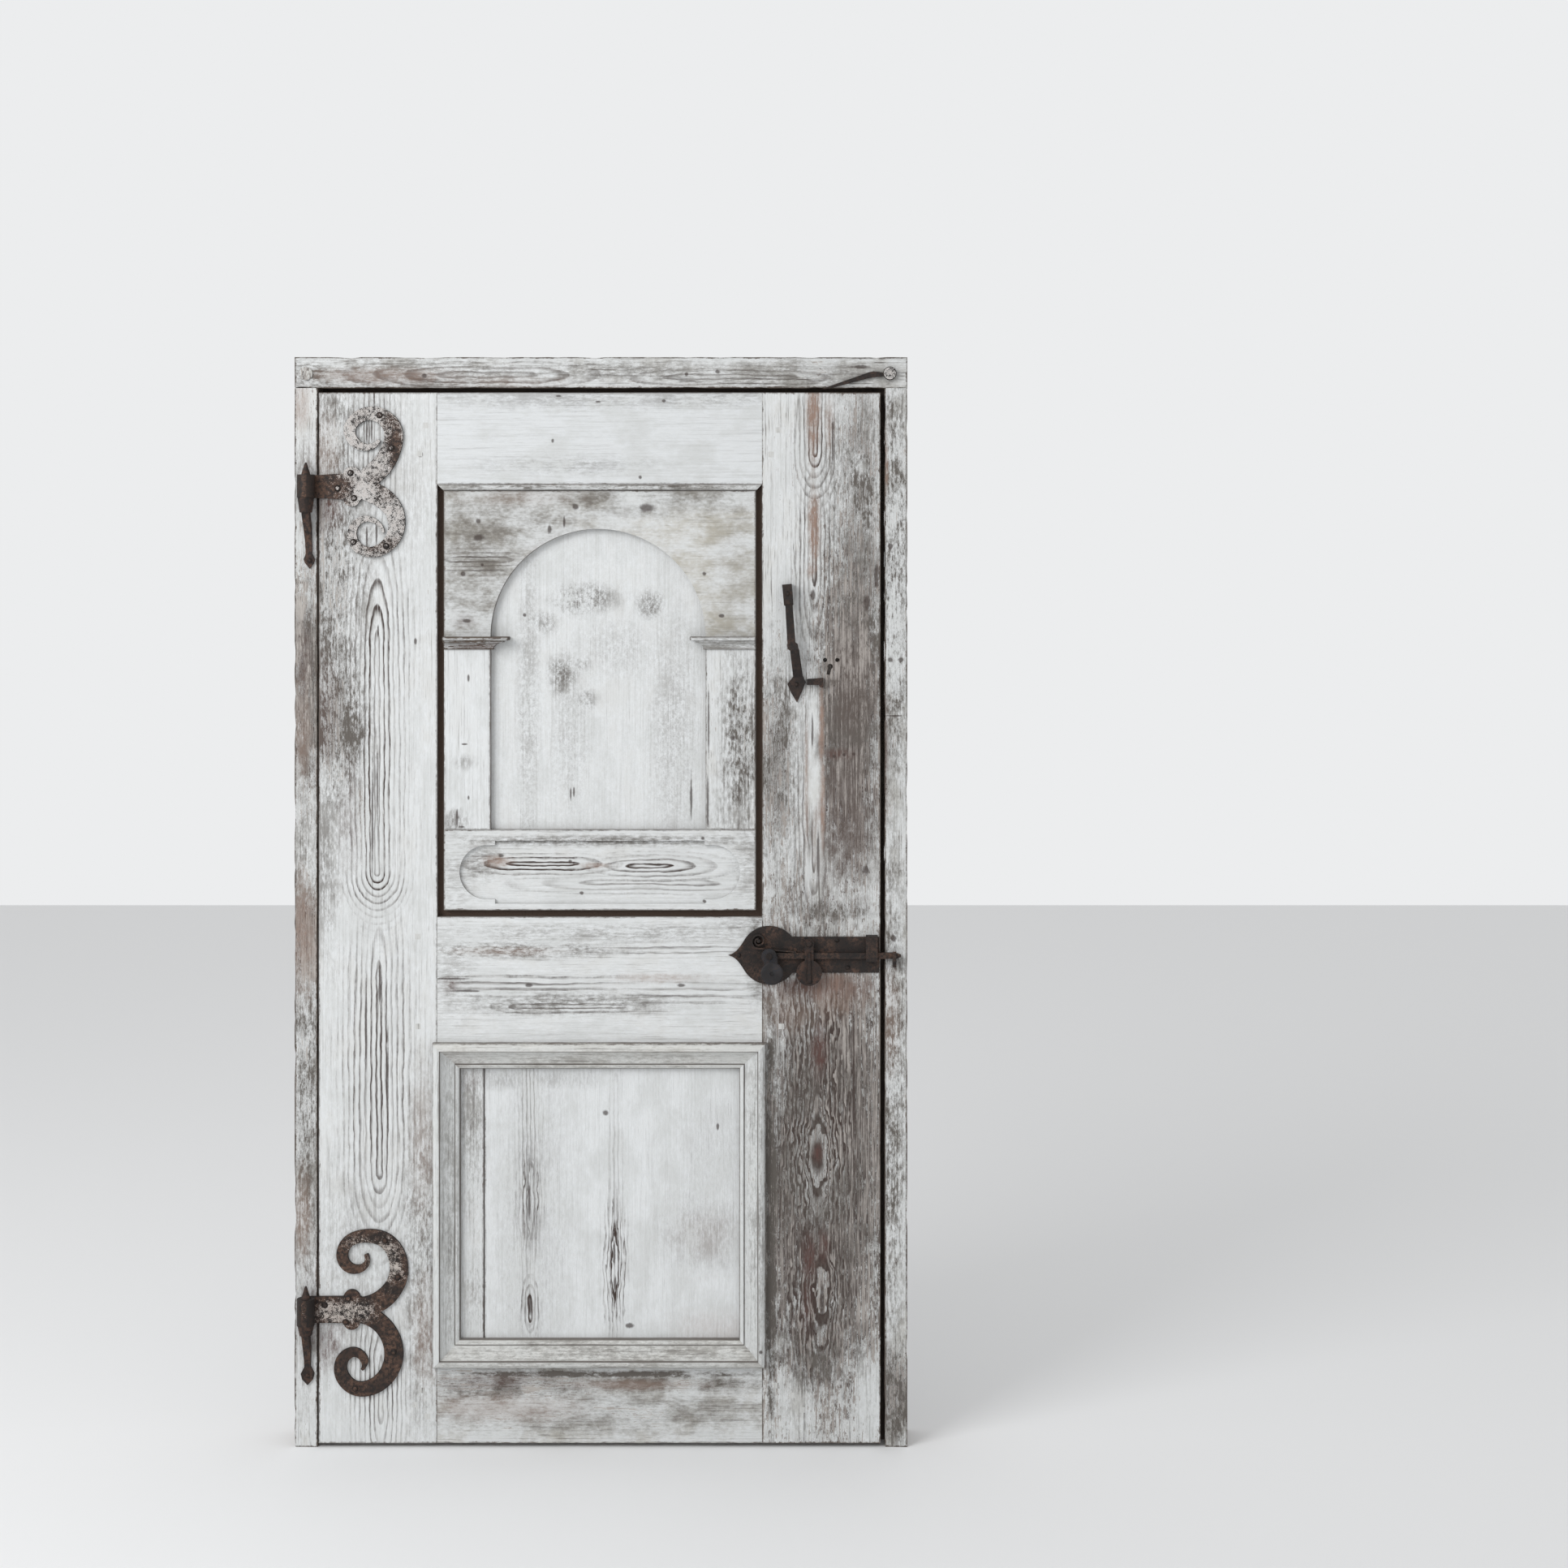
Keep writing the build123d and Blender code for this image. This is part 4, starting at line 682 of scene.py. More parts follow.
# %% Lock stile
lock_wood = limewashed(
    "lock_stile_wood", "lock_stile", seed=2.0, cover=0.9, fibre=0.75, hairs=1.1, soil=0.4,
    tint=linear(166, 160, 155),
    figures=[Figure(1004, 500, 56, (5.0, 2.4), 7.5, 5.0, bold=0.4, places=[(1008, 550, 26, 66, 1.0)]),
             Figure(1003, 664, 40, (3.0, 6.0), 7.5, 4.0, bold=0.4, places=[(1004, 690, 24, 90, 1.0)]),
             Figure(1008, 1424, 46, ring=9.0, sway=8.0, eye=15.0, bold=0.2,
                    places=[(1006, 1400, 48, 150, 1.6), (1000, 1250, 44, 90, 1.5)]),
             Figure(1011, 1590, 44, ring=9.0, sway=8.0, eye=13.0, bold=0.2,
                    places=[(1006, 1600, 40, 90, 1.6)]),
             Figure(1003, 990, 70, (6.0, 5.0), 7.5, 8.0, bold=0.3,
                    places=[(1000, 1020, 22, 120, 0.9)])],
    bare=[(1060, 560, 26, 130, 0.38), (1054, 720, 34, 120, 0.5), (1046, 890, 46, 210, 0.7),
          (1014, 1430, 110, 320, 0.72), (954, 940, 26, 120, 0.42), (985, 1100, 50, 60, 0.4)],
    white=[(1002, 885, 6, 30, 1.0), (1003, 968, 8, 34, 1.2), (1000, 930, 4, 40, 0.9),
           (1008, 1040, 4, 34, 0.8), (996, 1075, 4, 26, 0.8), (1062, 577, 6, 8, 0.5)],
    kept=[(1003, 880, 7, 40, 0.6), (1002, 972, 10, 44, 0.9), (1008, 1050, 5, 50, 0.5),
          (958, 1300, 16, 90, 0.2), (1070, 1722, 14, 40, 0.4), (985, 1730, 20, 30, 0.3),
          (1059, 577, 10, 16, 0.3), (1008, 1440, 30, 80, 0.3), (1004, 1260, 24, 60, 0.2),
          (1006, 1600, 22, 60, 0.25)],
    # two grey patches are painted shade: the strip at pixel X 950 is the moulding's shadow, and the band
    # along the top of the latch plate is partly dirt, partly its shadow
    grey=[(1056, 620, 40, 170, 1.0), (1056, 800, 36, 110, 1.5), (1046, 900, 50, 200, 1.1),
          (1010, 1400, 110, 320, 0.7), (956, 940, 28, 120, 1.2), (1010, 1660, 50, 50, 1.2),
          (1064, 600, 20, 60, 1.4), (950, 1490, 6, 260, 2.2), (1010, 1122, 80, 12, 1.2),
          (950, 1180, 16, 50, 1.0), (1050, 745, 26, 50, 1.7)],
    rust=[(1010, 1216, 60, 12, 0.9), (1010, 1294, 9, 26, 1.2), (1015, 1536, 6, 18, 1.1),
          (997, 1552, 8, 26, 1.1), (995, 1607, 7, 30, 1.0), (1008, 1421, 6, 10, 1.1),
          (1035, 930, 20, 7, 0.8), (1040, 1010, 34, 80, 0.35), (1050, 840, 26, 60, 0.3)],
    tan=[(1002, 500, 7, 64, 1.3), (1003, 652, 6, 40, 1.4), (999, 702, 4, 9, 0.9),
         (1022, 520, 5, 30, 0.8), (1012, 900, 3, 44, 1.2), (1013, 985, 3, 50, 1.2),
         (994, 960, 2.5, 60, 0.9), (1030, 1225, 34, 26, 0.6), (975, 1240, 30, 30, 0.35),
         (1007, 1010, 5, 50, 0.7)],
    marks=[(1052, 1330, 1.2, 110), (1068, 743, 4, 9), (1067, 1072, 4.5, 5), (1080, 711, 3, 12),
           (1026, 545, 1.3, 26), (1013, 1604, 2.6, 22), (1001, 1636, 6, 10), (1002, 733, 3, 6),
           (1008, 1052, 1.8, 30), (1001, 900, 1.3, 20), (959, 529, 2, 2.4), (950, 560, 2, 2.8),
           (1040, 930, 2, 2), (1028, 932, 2, 2), (1052, 929, 2, 2), (961, 1500, 1.0, 26)],
)
worn_board("lock_stile", lock_wood, ALONG_Z, seed=4)

# %% [markdown]
# The rails run the other way, and each keeps its own character: the top rail is nearly white, the lock
# rail has long brown lines lying on their side, and the bottom rail is grey where water stood.

# %% Rails
top_wood = limewashed(
    "top_rail_wood", "top_rail", upright=False, seed=3.0, cover=1.16, fibre=0.15, hairs=0.25, soil=0.1,
    wash=linear(216, 219, 221),
    grey=[(700, 490, 160, 12, 0.45), (860, 490, 100, 10, 0.5), (700, 574, 90, 10, 0.4)],
    marks=[(789, 588, 2.0, 2.0), (681, 543, 1.6, 2.4), (737, 495, 3, 1.2), (818, 494, 2.2, 1.6),
           (688, 488, 3.5, 1.2), (770, 478, 2, 1.0)],
)
lock_rail_wood = limewashed(
    "lock_rail_wood", "lock_rail", upright=False, seed=4.0, cover=1.06, fibre=0.3, hairs=0.4, soil=0.3,
    figures=[Figure(740, 1215, 172, (3.0, 3.0), 12.0, 4.0, bold=0.4,
                    places=[(640, 1214, 120, 11, 1.3), (850, 1222, 70, 12, 0.9)]),
             Figure(700, 1240, 60, (4.0, 4.0), 8.0, 4.0, bold=0.4, places=[(690, 1241, 80, 8, 1.0)]),
             Figure(820, 1170, 80, (6.0, 6.0), 9.0, 4.0, places=[(820, 1170, 90, 8, 0.6)])],
    # the two grey patches at the rail's right end are partly dirt, partly painted shade beside the latch
    # plate
    grey=[(690, 1236, 120, 12, 0.8), (620, 1171, 120, 8, 1.1), (760, 1150, 200, 10, 0.5),
          (560, 1200, 24, 50, 0.4), (934, 1150, 12, 70, 1.0), (910, 1142, 34, 10, 0.5)],
    rust=[(556, 1213, 11, 8, 0.9)],
    tan=[(620, 1172, 60, 5, 0.5), (820, 1205, 50, 5, 0.5)],
    marks=[(652, 1214, 4.5, 2.2), (840, 1214, 5, 2.0), (560, 1206, 18, 1.2), (574, 1221, 20, 1.2)],
)
bottom_wood = limewashed(
    "bottom_rail_wood", "bottom_rail", upright=False, seed=5.0, cover=0.95, fibre=0.5, soil=0.7, calm=0.5,
    bare=[(640, 1706, 140, 16, 0.42), (840, 1706, 110, 10, 0.3), (700, 1745, 200, 16, 0.2)],
    grey=[(745, 1693, 240, 4, 2.0), (620, 1708, 120, 22, 1.3), (820, 1704, 180, 12, 1.1),
          (720, 1740, 240, 26, 0.8)],
    rust=[(600, 1702, 50, 8, 0.5)],
    tan=[(620, 1735, 80, 14, 0.6), (780, 1706, 70, 6, 0.5)],
)
worn_board("top_rail", top_wood, ALONG_X, seed=5)
worn_board("lock_rail", lock_rail_wood, ALONG_X, seed=6)
worn_board("bottom_rail", bottom_wood, ALONG_X, seed=7)

# %% [markdown]
# The blind arch is thin boards planted on a niche board. Round them a gap stays open as far as the
# stiles and the lock rail, and at its bottom the niche board is bare and dark brown: outside the box of
# the planted boards its material turns to the colour of the gap. The boards are worn like the rails,
# but less. The imposts and the bead keep the profiles of their solids and only get a material.

# %% Materials for the solids themselves


def dress(material, *names):
    """Puts a material on solids whose shape is right as it is."""
    for name in names:
        nodes[name].data.materials.clear()
        nodes[name].data.materials.append(material)
    print(material.name, "on", ", ".join(names))


# %% Blind arch
spandrel_wood = limewashed(
    "spandrel_wood", "spandrel", upright=False, seed=6.0, cover=1.12, fibre=0.2, gap=0.75, hairs=0.5,
    soil=0.9, streak=9.0, calm=0.6,
    figures=[Figure(590, 690, 30, (4.0, 4.0), 8.0, 5.0, places=[(590, 692, 44, 16, 1.0)])],
    bare=[(580, 690, 50, 50, 0.2)],
    grey=[(585, 700, 70, 110, 0.85), (740, 606, 280, 24, 0.9), (620, 640, 110, 50, 0.85),
          (915, 710, 34, 100, 0.3), (765, 630, 60, 8, 0.9), (572, 760, 24, 20, 0.8)],
    rust=[(572, 766, 14, 8, 0.5)],
    tan=[(640, 612, 60, 10, 0.3)],
    marks=[(589, 642, 3.4, 3.4), (590, 662, 6, 4), (677, 652, 2.4, 5), (695, 643, 1.4, 7),
           (709, 624, 4, 4), (575, 765, 5, 2.4), (570, 707, 3, 2.6), (797, 626, 9, 5),
           (868, 707, 2.2, 2.2), (889, 759, 3, 2.2), (594, 696, 2, 2)],
)
left_pilaster_wood = limewashed(
    "left_pilaster_wood", "left_pilaster", seed=7.0, cover=1.14, fibre=0.2, gap=0.7, hairs=0.35, soil=0.2,
    marks=[(577, 835, 1.4, 4), (572, 917, 3.4, 1.0), (577, 983, 1.2, 2.4), (563, 1008, 1.4, 10),
           (569, 1019, 4, 1.6)],
    grey=[(560, 1014, 16, 14, 0.8), (572, 940, 12, 8, 0.5)],
)
right_pilaster_wood = limewashed(
    "right_pilaster_wood", "right_pilaster", seed=8.0, cover=0.98, fibre=0.5, gap=0.5, soil=0.4,
    bare=[(915, 920, 16, 80, 0.3)],
    grey=[(912, 915, 22, 90, 1.3), (900, 1000, 24, 40, 0.6)],
    marks=[(903, 909, 3.4, 3.4), (873, 890, 1.0, 36), (872, 990, 1.2, 30)],
)
base_wood = limewashed(
    "base_board_wood", "base_board", upright=False, seed=9.0, cover=1.04, fibre=0.25, gap=0.6, soil=0.35,
    hairs=0.5,
    figures=[Figure(668, 1065, 30, (5.0, 5.0), 7.5, 3.0, bold=0.3, places=[(662, 1067, 80, 12, 1.4)]),
             Figure(800, 1068, 14, (5.0, 5.0), 7.5, 3.0, bold=0.35, places=[(810, 1070, 66, 16, 1.2)]),
             Figure(800, 1088, 60, (8.0, 8.0), 8.0, 4.0, bold=0.4, places=[(800, 1092, 130, 9, 0.9)])],
    grey=[(740, 1036, 190, 6, 0.9), (590, 1062, 22, 20, 0.7), (930, 1040, 22, 70, 0.6),
          (560, 1080, 20, 60, 0.4)],
    tan=[(612, 1062, 16, 6, 0.9), (730, 1067, 16, 3, 0.9)],
    marks=[(702, 1062, 2.2, 1.8), (716, 1101, 2.4, 2.0), (866, 1033, 2.0, 2.0), (868, 1111, 2.4, 2.0),
           (617, 1055, 3.0, 2.2), (811, 1066, 6, 1.6)],
)
niche_wood = limewashed(
    "niche_board_wood", "niche_board", seed=10.0, cover=1.2, fibre=0.08, gap=0.0, edge_wear=0.0,
    bare_outside=(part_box("base_board")[0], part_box("spandrel")[1]), hairs=0.1, streak=6.0, soil=0.25,
    grey=[(722, 738, 34, 16, 0.9), (667, 766, 18, 12, 0.6), (692, 832, 15, 22, 0.9),
          (800, 745, 14, 14, 0.8), (702, 900, 20, 80, 0.3), (722, 862, 14, 10, 0.6),
          (830, 900, 24, 120, 0.35), (650, 860, 12, 160, 0.4), (716, 818, 12, 8, 0.5),
          (760, 800, 40, 30, 0.25)],
    marks=[(702, 980, 1.0, 8), (706, 976, 1.0, 6), (645, 758, 2.0, 2.0), (851, 980, 1.2, 26)],
)
impost_wood = limewashed(
    "left_impost_wood", "left_impost", upright=False, seed=11.0, cover=0.5, fibre=0.8, gap=0.3,
    tint=linear(108, 96, 86), grey=[(590, 792, 60, 16, 0.8)], rust=[(600, 798, 40, 6, 0.6)])
right_impost_wood = limewashed(
    "right_impost_wood", "right_impost", upright=False, seed=12.0, cover=0.95, fibre=0.5, gap=0.3,
    grey=[(880, 792, 60, 14, 0.7)], soil=0.5)
bead_wood = limewashed(
    "top_bead_wood", "top_bead", upright=False, seed=13.0, cover=0.88, fibre=0.6, edge_wear=0.8,
    grey=[(740, 598, 230, 8, 1.0)], gap=0.3, soil=0.5)

SMALL_BEVEL, SMALL_BITE = 0.6, 0.4
worn_board("spandrel", spandrel_wood, ALONG_X, bevel=SMALL_BEVEL, bite=SMALL_BITE, seed=11)
worn_board("left_pilaster", left_pilaster_wood, ALONG_Z, bevel=SMALL_BEVEL, bite=SMALL_BITE, seed=12)
worn_board("right_pilaster", right_pilaster_wood, ALONG_Z, bevel=SMALL_BEVEL, bite=SMALL_BITE, seed=13)
worn_board("base_board", base_wood, ALONG_X, bevel=SMALL_BEVEL, bite=SMALL_BITE, seed=14)
dress(niche_wood, "niche_board")
dress(impost_wood, "left_impost")
dress(right_impost_wood, "right_impost")
dress(bead_wood, "top_bead")

# %% [markdown]
# The lower panel is two boards behind a bolection moulding, a moulding that stands out over the leaf's
# face. Its quirks, the sharp steps beside the cove, get dark lines of painted shade: each is a line at so
# many millimetres from the moulding's outer edge, and so wide. The grey patches along the moulding are
# painted shade on its faces turned from the light.

# %% Lower panel
wide_wood = limewashed(
    "wide_panel_wood", "wide_panel_board", seed=14.0, cover=1.14, fibre=0.12, hairs=0.3, soil=0.15,
    calm=0.4,
    figures=[Figure(652, 1480, 40, ring=7.0, sway=3.0, eye=5.0, bold=0.3,
                    places=[(652, 1480, 14, 56, 1.0)]),
             Figure(756, 1560, 34, ring=7.0, sway=3.0, eye=5.0, bold=0.3,
                    places=[(757, 1560, 13, 70, 1.2)]),
             Figure(650, 1400, 200, ring=7.0, sway=3.0, places=[(650, 1430, 14, 190, 0.6)]),
             Figure(652, 1615, 10, (3.0, 3.0), 6.0, 2.0, bold=0.3, places=[(652, 1612, 10, 30, 1.2)]),
             Figure(758, 1500, 160, (5.0, 5.0), 8.0, 3.0, places=[(758, 1500, 8, 160, 0.6)])],
    grey=[(655, 1500, 40, 170, 0.3), (868, 1522, 48, 38, 0.45), (640, 1330, 80, 12, 0.5),
          (880, 1420, 40, 60, 0.2)],
    tan=[(868, 1524, 34, 26, 0.2), (880, 1640, 50, 20, 0.3)],
    marks=[(745, 1373, 3.2, 3.2), (775, 1636, 5.0, 3.0), (651, 1485, 1.6, 22), (652, 1610, 2.6, 12),
           (756, 1545, 1.6, 14), (757, 1585, 2.0, 10), (884, 1390, 1.6, 4)],
)
narrow_wood = limewashed(
    "narrow_panel_wood", "narrow_panel_board", seed=15.0, cover=1.04, fibre=0.4, hairs=0.6, soil=0.4,
    grey=[(580, 1380, 14, 110, 0.6), (584, 1600, 12, 50, 0.5)], rust=[(578, 1330, 12, 14, 0.4)])
moulding_box = (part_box("panel_moulding_left")[0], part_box("panel_moulding_right")[1])
QUIRKS = [(13.6, 0.9), (37.5, 1.0), (45.6, 1.0)]
level_moulding = limewashed(
    "level_moulding_wood", "panel_moulding_top", upright=False, seed=16.0, cover=0.9, fibre=0.5,
    box=moulding_box, quirks=QUIRKS, wash=linear(218, 219, 217), gap=0.0, soil=0.35,
    # painted shade on the faces of the level mouldings turned from the light; the rust is real
    grey=[(740, 1312, 240, 20, 0.45), (740, 1668, 240, 20, 0.6)], rust=[(560, 1315, 30, 20, 0.3)])
upright_moulding = limewashed(
    "upright_moulding_wood", "panel_moulding_left", seed=17.0, cover=0.9, fibre=0.5,
    box=moulding_box, quirks=QUIRKS, wash=linear(218, 221, 222), gap=0.0, soil=0.25,
    # painted shade: the left cove and the right outer slope face away from the light
    grey=[(556, 1480, 12, 210, 0.5), (934, 1480, 14, 210, 0.6)],
    marks=[(938, 1662, 2.0, 2.0)])
dress(wide_wood, "wide_panel_board")
dress(narrow_wood, "narrow_panel_board")
dress(level_moulding, "panel_moulding_top", "panel_moulding_bottom")
dress(upright_moulding, "panel_moulding_left", "panel_moulding_right")

# %% [markdown]
# The frame is rougher work than the leaf: its edges are chipped, and its wash has gone brown-grey. The
# same worn copies serve, with finer cuts, a wider bevel and deeper bites. The strips behind the leaf
# and the pegs are small or hidden, so their solids only get a material.

# %% Frame
left_jamb_wood = limewashed(
    "left_jamb_wood", "left_jamb", seed=18.0, cover=0.84, fibre=0.7, edge_wear=1.4, soil=0.5,
    side=RAW_SIDE,
    bare=[(378, 850, 22, 140, 0.5), (376, 1150, 22, 70, 0.5), (378, 500, 16, 50, 0.2),
          (376, 1400, 20, 160, 0.15)],
    grey=[(378, 840, 22, 140, 1.3), (376, 1300, 20, 320, 1.1), (378, 600, 20, 60, 0.6)],
    rust=[(372, 815, 10, 40, 0.5), (384, 606, 14, 40, 0.7), (384, 1620, 14, 40, 0.7)],
    tan=[(374, 1150, 14, 60, 0.8), (370, 500, 10, 26, 0.6), (372, 900, 10, 50, 0.5),
         (372, 1500, 10, 50, 0.5)],
)
right_jamb_wood = limewashed(
    "right_jamb_wood", "right_jamb", seed=19.0, cover=0.88, fibre=0.6, edge_wear=1.4, soil=0.6,
    side=RAW_SIDE,
    bare=[(1092, 930, 10, 80, 0.4), (1102, 1716, 24, 60, 0.4), (1104, 560, 14, 60, 0.15)],
    grey=[(1100, 700, 22, 240, 1.4), (1102, 1716, 24, 62, 1.4), (1098, 1350, 20, 300, 1.2)],
    rust=[(1090, 930, 4, 66, 0.6)],
    tan=[(1091, 570, 3.4, 30, 0.9), (1098, 1260, 10, 60, 0.4)],
    marks=[(1097, 673, 3.4, 3.4), (1097, 813, 3.0, 3.0), (1110, 813, 3.0, 3.0), (1101, 1156, 3.2, 4.0),
           (1101, 882, 12, 1.2)],
)
header_wood = limewashed(
    "header_wood", "header", upright=False, seed=20.0, cover=0.95, fibre=0.8, edge_wear=1.4, soil=0.5,
    side=RAW_SIDE,
    figures=[Figure(600, 462, 40, (6.0, 6.0), 9.0, 9.0, bold=0.35, places=[(580, 464, 170, 16, 1.1)]),
             Figure(900, 466, 60, (7.0, 7.0), 8.0, 7.0, bold=0.4, places=[(900, 466, 160, 14, 0.9)])],
    bare=[(480, 464, 120, 14, 0.3), (850, 470, 90, 10, 0.25), (1000, 460, 90, 18, 0.3)],
    grey=[(520, 464, 170, 22, 0.8), (980, 462, 130, 20, 0.7), (384, 462, 24, 20, 1.2),
          (760, 456, 160, 12, 0.7)],
    rust=[(480, 466, 70, 8, 0.3)],
    tan=[(470, 462, 80, 8, 0.45), (620, 470, 70, 6, 0.3)],
    marks=[(523, 463, 3.2, 3.0), (846, 461, 2.4, 2.4), (884, 458, 3.0, 2.4), (1060, 452, 12, 2.0)],
)
# the stops are seen only through the gaps round the leaf; their dark brown is old wood darkened further as
# painted shade of the gaps
stop_wood = limewashed("stop_wood", "left_stop", seed=21.0, cover=0.12, fibre=0.8,
                       tint=linear(84, 72, 62))
peg_wood = limewashed("peg_wood", "frame_peg", seed=22.0, cover=0.45, fibre=0.6, edge_wear=0.0, gap=0.0,
                      soil=0.8)
pin_wood = limewashed("pin_wood", "tenon_pegs", seed=23.0, cover=0.9, fibre=0.6, edge_wear=0.0, gap=0.0,
                      wash=linear(204, 205, 204), soil=0.2)
ROUGH_STEP = 0.016
ROUGH_BEVEL = 1.6
worn_board("left_jamb", left_jamb_wood, ALONG_Z, step=ROUGH_STEP, bevel=ROUGH_BEVEL, bite=3.0, seed=8)
worn_board("right_jamb", right_jamb_wood, ALONG_Z, step=ROUGH_STEP, bevel=ROUGH_BEVEL, bite=2.4, seed=9)
worn_board("header", header_wood, ALONG_X, step=ROUGH_STEP, bevel=ROUGH_BEVEL, bite=3.0, seed=10)
dress(stop_wood, "left_stop", "right_stop", "head_stop")
dress(peg_wood, "frame_peg")
dress(pin_wood, "tenon_pegs")

# %% [markdown]
# The ironwork is forged: its surface is pitted and brown with fine rust. Limewash was brushed over the
# straps and has stayed on their flats, while it rubbed off the arrises, so the wash is kept to where the
# surface faces straight out. One recipe serves all the pieces, and each gets its own colours, share of
# rust and share of wash.

# %% Iron
IRON_BLACK = linear(27, 24, 23)
RUST_DARK = linear(58, 45, 39)
RUST_BROWN = linear(90, 68, 56)
RUST_PALE = linear(138, 100, 80)
STRAP_WASH = linear(211, 210, 208)
LOWER_STRAP_WASH = linear(206, 199, 192)
WORN_WASH = linear(168, 158, 152)
COVER_BROWN = linear(72, 52, 43)
KNOB_DARK = linear(38, 40, 45)
KNOB_BROWN = linear(50, 46, 47)
PIT_SIZE = (1.5, 1.5, 1.5)
SPOT_SIZE = (6.0, 6.0, 6.0)
BROAD_SIZE = (34.0, 34.0, 34.0)
BLACK_SHARE, BLACK_SHARE_WASHED = 0.65, 0.15
IRON_SHINE = 0.3
IRON_RELIEF = 0.5


def forged_iron(name, seed, dark=IRON_BLACK, brown=RUST_DARK, rust=0.4, wash=0.0, washed=(), rusty=(),
                coat_color=STRAP_WASH):
    """Pitted iron with rust. Wash, from 0 to 1, says how much limewash is left on its flats.

    Washed and rusty are the patches where more of it is left and where it has gone.
    """
    s = Surface(name)
    pits = s.clouds(PIT_SIZE, detail=3.0, seed=seed + 0.7)
    spots = s.clouds(SPOT_SIZE, detail=4.0, seed=seed + 1.9, rough=0.68)
    broad = s.clouds(BROAD_SIZE, detail=2.0, seed=seed + 3.3)
    color = s.mix(dark, brown, (spots.ramp(0.38, 0.62) * 0.8 + (pits - 0.4) * 0.8).clamped())
    color = s.mix(color, RUST_BROWN, broad.ramp(0.56 - rust * 0.3, 0.78) * spots.ramp(0.4, 0.66))
    color = s.mix(color, RUST_PALE, pits.ramp(0.56, 0.76) * rust * 0.7)
    color = s.mix(color, IRON_BLACK, broad.ramp(0.56, 0.36, BLACK_SHARE_WASHED if wash else BLACK_SHARE))
    roughness = spots * 0.35 + 0.45
    height = spots * 0.7 + pits * 0.5
    if wash or washed:
        left = patches(s, washed).larger(wash) if washed else wash
        if rusty:
            left = left - patches(s, rusty)
        left = left + (spots - 0.5) * 1.5 + (pits - 0.5) * 1.8 + (broad - 0.5) * 0.6
        flats = s.flatness.ramp(0.94, 0.99)
        # painted shade: bevels and sides, which turn away from the front, are darkened towards black
        color = s.mix(color, IRON_BLACK, (1 - flats) * 0.75)
        coat = left.ramp(0.4, 0.62, 0.94) * flats
        coat_shade = s.mix(coat_color, WORN_WASH, ((pits - 0.4) * 2.2 + (spots - 0.5) * 2).clamped())
        color = s.mix(color, coat_shade, coat)
        roughness = roughness + coat * 0.2
        height = height + coat * 0.5
    return s.finish(color, roughness, height, IRON_RELIEF, IRON_SHINE)


# %% [markdown]
# A smith leaves no sharp arris. The forged copies take a bevel round the outline of their front faces,
# and small noise along it, as hammer blows leave it.

# %% Forged copies
HAMMER = 0.35 * MM
HAMMER_SCALE = 120
HAMMER_SHIFT = 2.3
FACES_OUT, FACES_SIDEWAYS = -0.97, -0.3
ARRIS_ANGLE = 0.5
OTHER_PLACE = Vector((9, 4, 2))


def front_edges(bm):
    """The edges where a face that looks out of the door meets a side face."""
    found = []
    for edge in bm.edges:
        if len(edge.link_faces) == 2:
            ways = sorted(face.normal.y for face in edge.link_faces)
            outward = ways[0] < FACES_OUT and ways[1] > FACES_SIDEWAYS
            if outward and edge.calc_face_angle_signed(0.0) > ARRIS_ANGLE:
                found.append(edge)
    return found


def forged_piece(node, material, bevel, seed):
    """A copy of an iron solid with its front arris hammered round."""
    bm = merged_copy(node)
    bevelled(bm, front_edges(bm), bevel)
    for vert in bm.verts:
        if any(face.normal.y < FACES_OUT for face in vert.link_faces):
            place = vert.co * HAMMER_SCALE + Vector((seed * HAMMER_SHIFT, 0, 0))
            vert.co += Vector((noise.noise(place), 0, noise.noise(place + OTHER_PLACE))) * HAMMER
    replace(bm, node, material)


# %% [markdown]
# The upper strap has kept most of its wash, except on its arm and where the paint fell off one scroll.
# The lower strap shows the reverse: rust all over, and wash in four places. The nails follow the strap
# they hold. The rest of the iron never had any wash, apart from the head of the hook's stud. Pieces with
# a flat front are forged copies, and the small ones keep their solids.

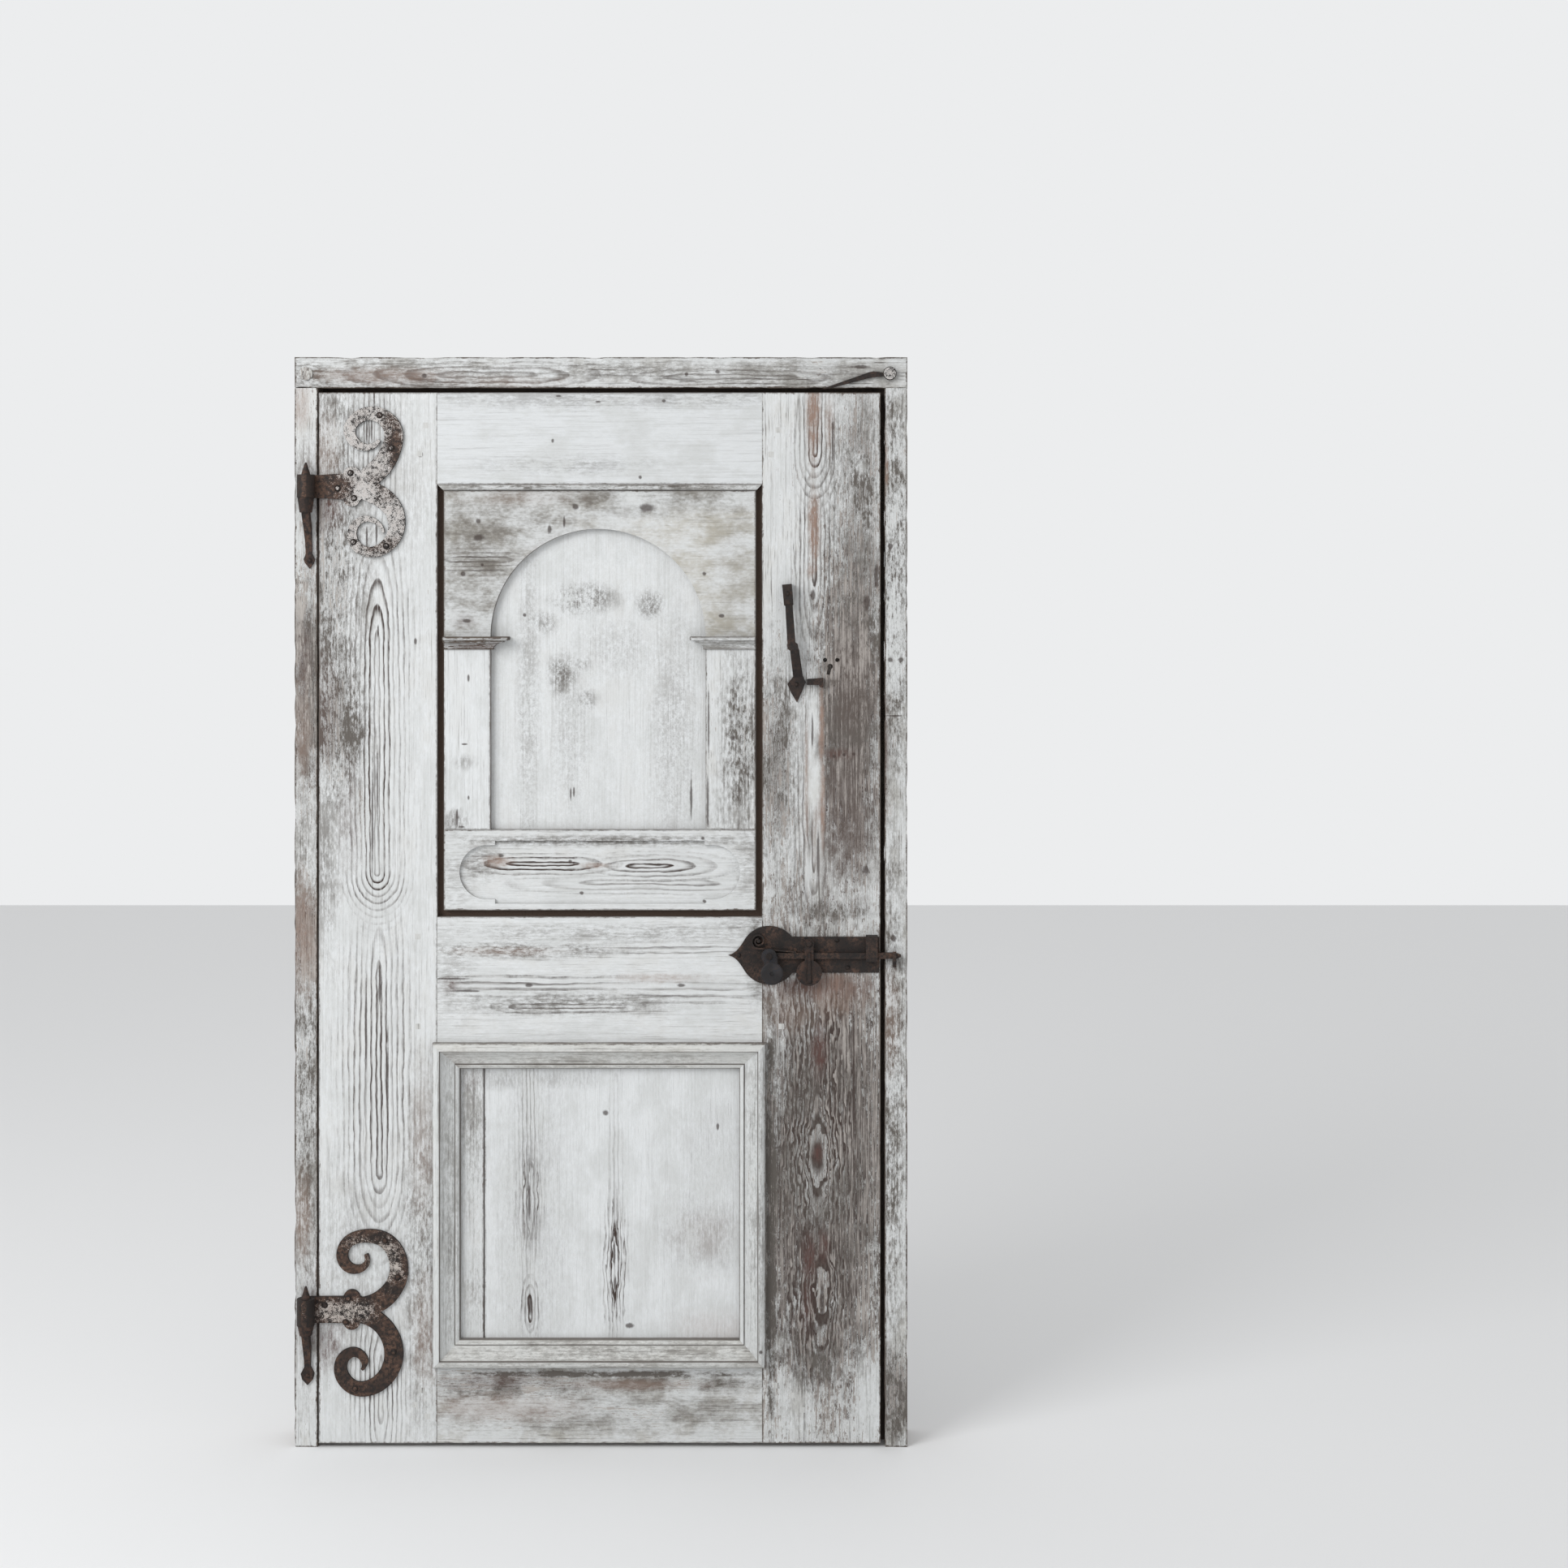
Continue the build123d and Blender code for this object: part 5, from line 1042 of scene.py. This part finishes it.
# %% Ironwork
UPPER_RUST = [(380, 606, 26, 44, 1.0), (408, 606, 22, 22, 0.42), (489, 550, 8, 26, 0.42),
              (484, 520, 14, 10, 0.2), (470, 672, 22, 8, 0.2), (476, 600, 12, 14, 0.15)]
LOWER_WASH = [(425, 1616, 40, 17, 0.56), (478, 1552, 22, 34, 0.5), (450, 1530, 30, 12, 0.38),
              (405, 1538, 8, 16, 0.4)]
UPPER_NAILS = [(450, 610, 120, 140, 0.5)]
upper_iron = forged_iron("upper_strap_iron", brown=RUST_BROWN, rust=0.9, seed=31.0, wash=0.6,
                         rusty=UPPER_RUST)
lower_iron = forged_iron("lower_strap_iron", brown=RUST_BROWN, rust=0.7, seed=33.0, washed=LOWER_WASH,
                         coat_color=LOWER_STRAP_WASH)
nail_iron = forged_iron("strap_nail_iron", brown=RUST_BROWN, rust=0.7, seed=34.0, washed=UPPER_NAILS)
dark_iron = forged_iron("dark_iron", seed=35.0)
hook_iron = forged_iron("hook_iron", seed=37.0, rust=0.2)
knob_iron = forged_iron("knob_iron", dark=KNOB_DARK, brown=KNOB_BROWN, rust=0.15, seed=39.0)
cover_iron = forged_iron("cover_iron", brown=COVER_BROWN, seed=41.0, rust=0.5)
washed_iron = forged_iron("washed_iron", seed=43.0, wash=0.6)
forged_piece("upper_strap", upper_iron, bevel=1.8, seed=21)
forged_piece("lower_strap", lower_iron, bevel=1.8, seed=22)
forged_piece("latch_plate", dark_iron, bevel=0.7, seed=23)
forged_piece("pull_handle", hook_iron, bevel=0.9, seed=24)
forged_piece("top_hook", hook_iron, bevel=0.8, seed=25)
forged_piece("handle_stub", hook_iron, bevel=0.8, seed=26)
dress(nail_iron, "strap_nails")
dress(cover_iron, "upper_pintle", "lower_pintle", "pintle_nails", "keyhole_cover", "cover_rivet")
dress(dark_iron, "latch_plate_nails", "latch_bar", "latch_spindle", "spindle_washer", "latch_spring",
      "spring_stud", "guide_staple", "latch_keeper", "lock_case", "lock_bolt")
dress(knob_iron, "latch_knob")
dress(washed_iron, "hook_stud")
dress(hook_iron, "handle_nails")
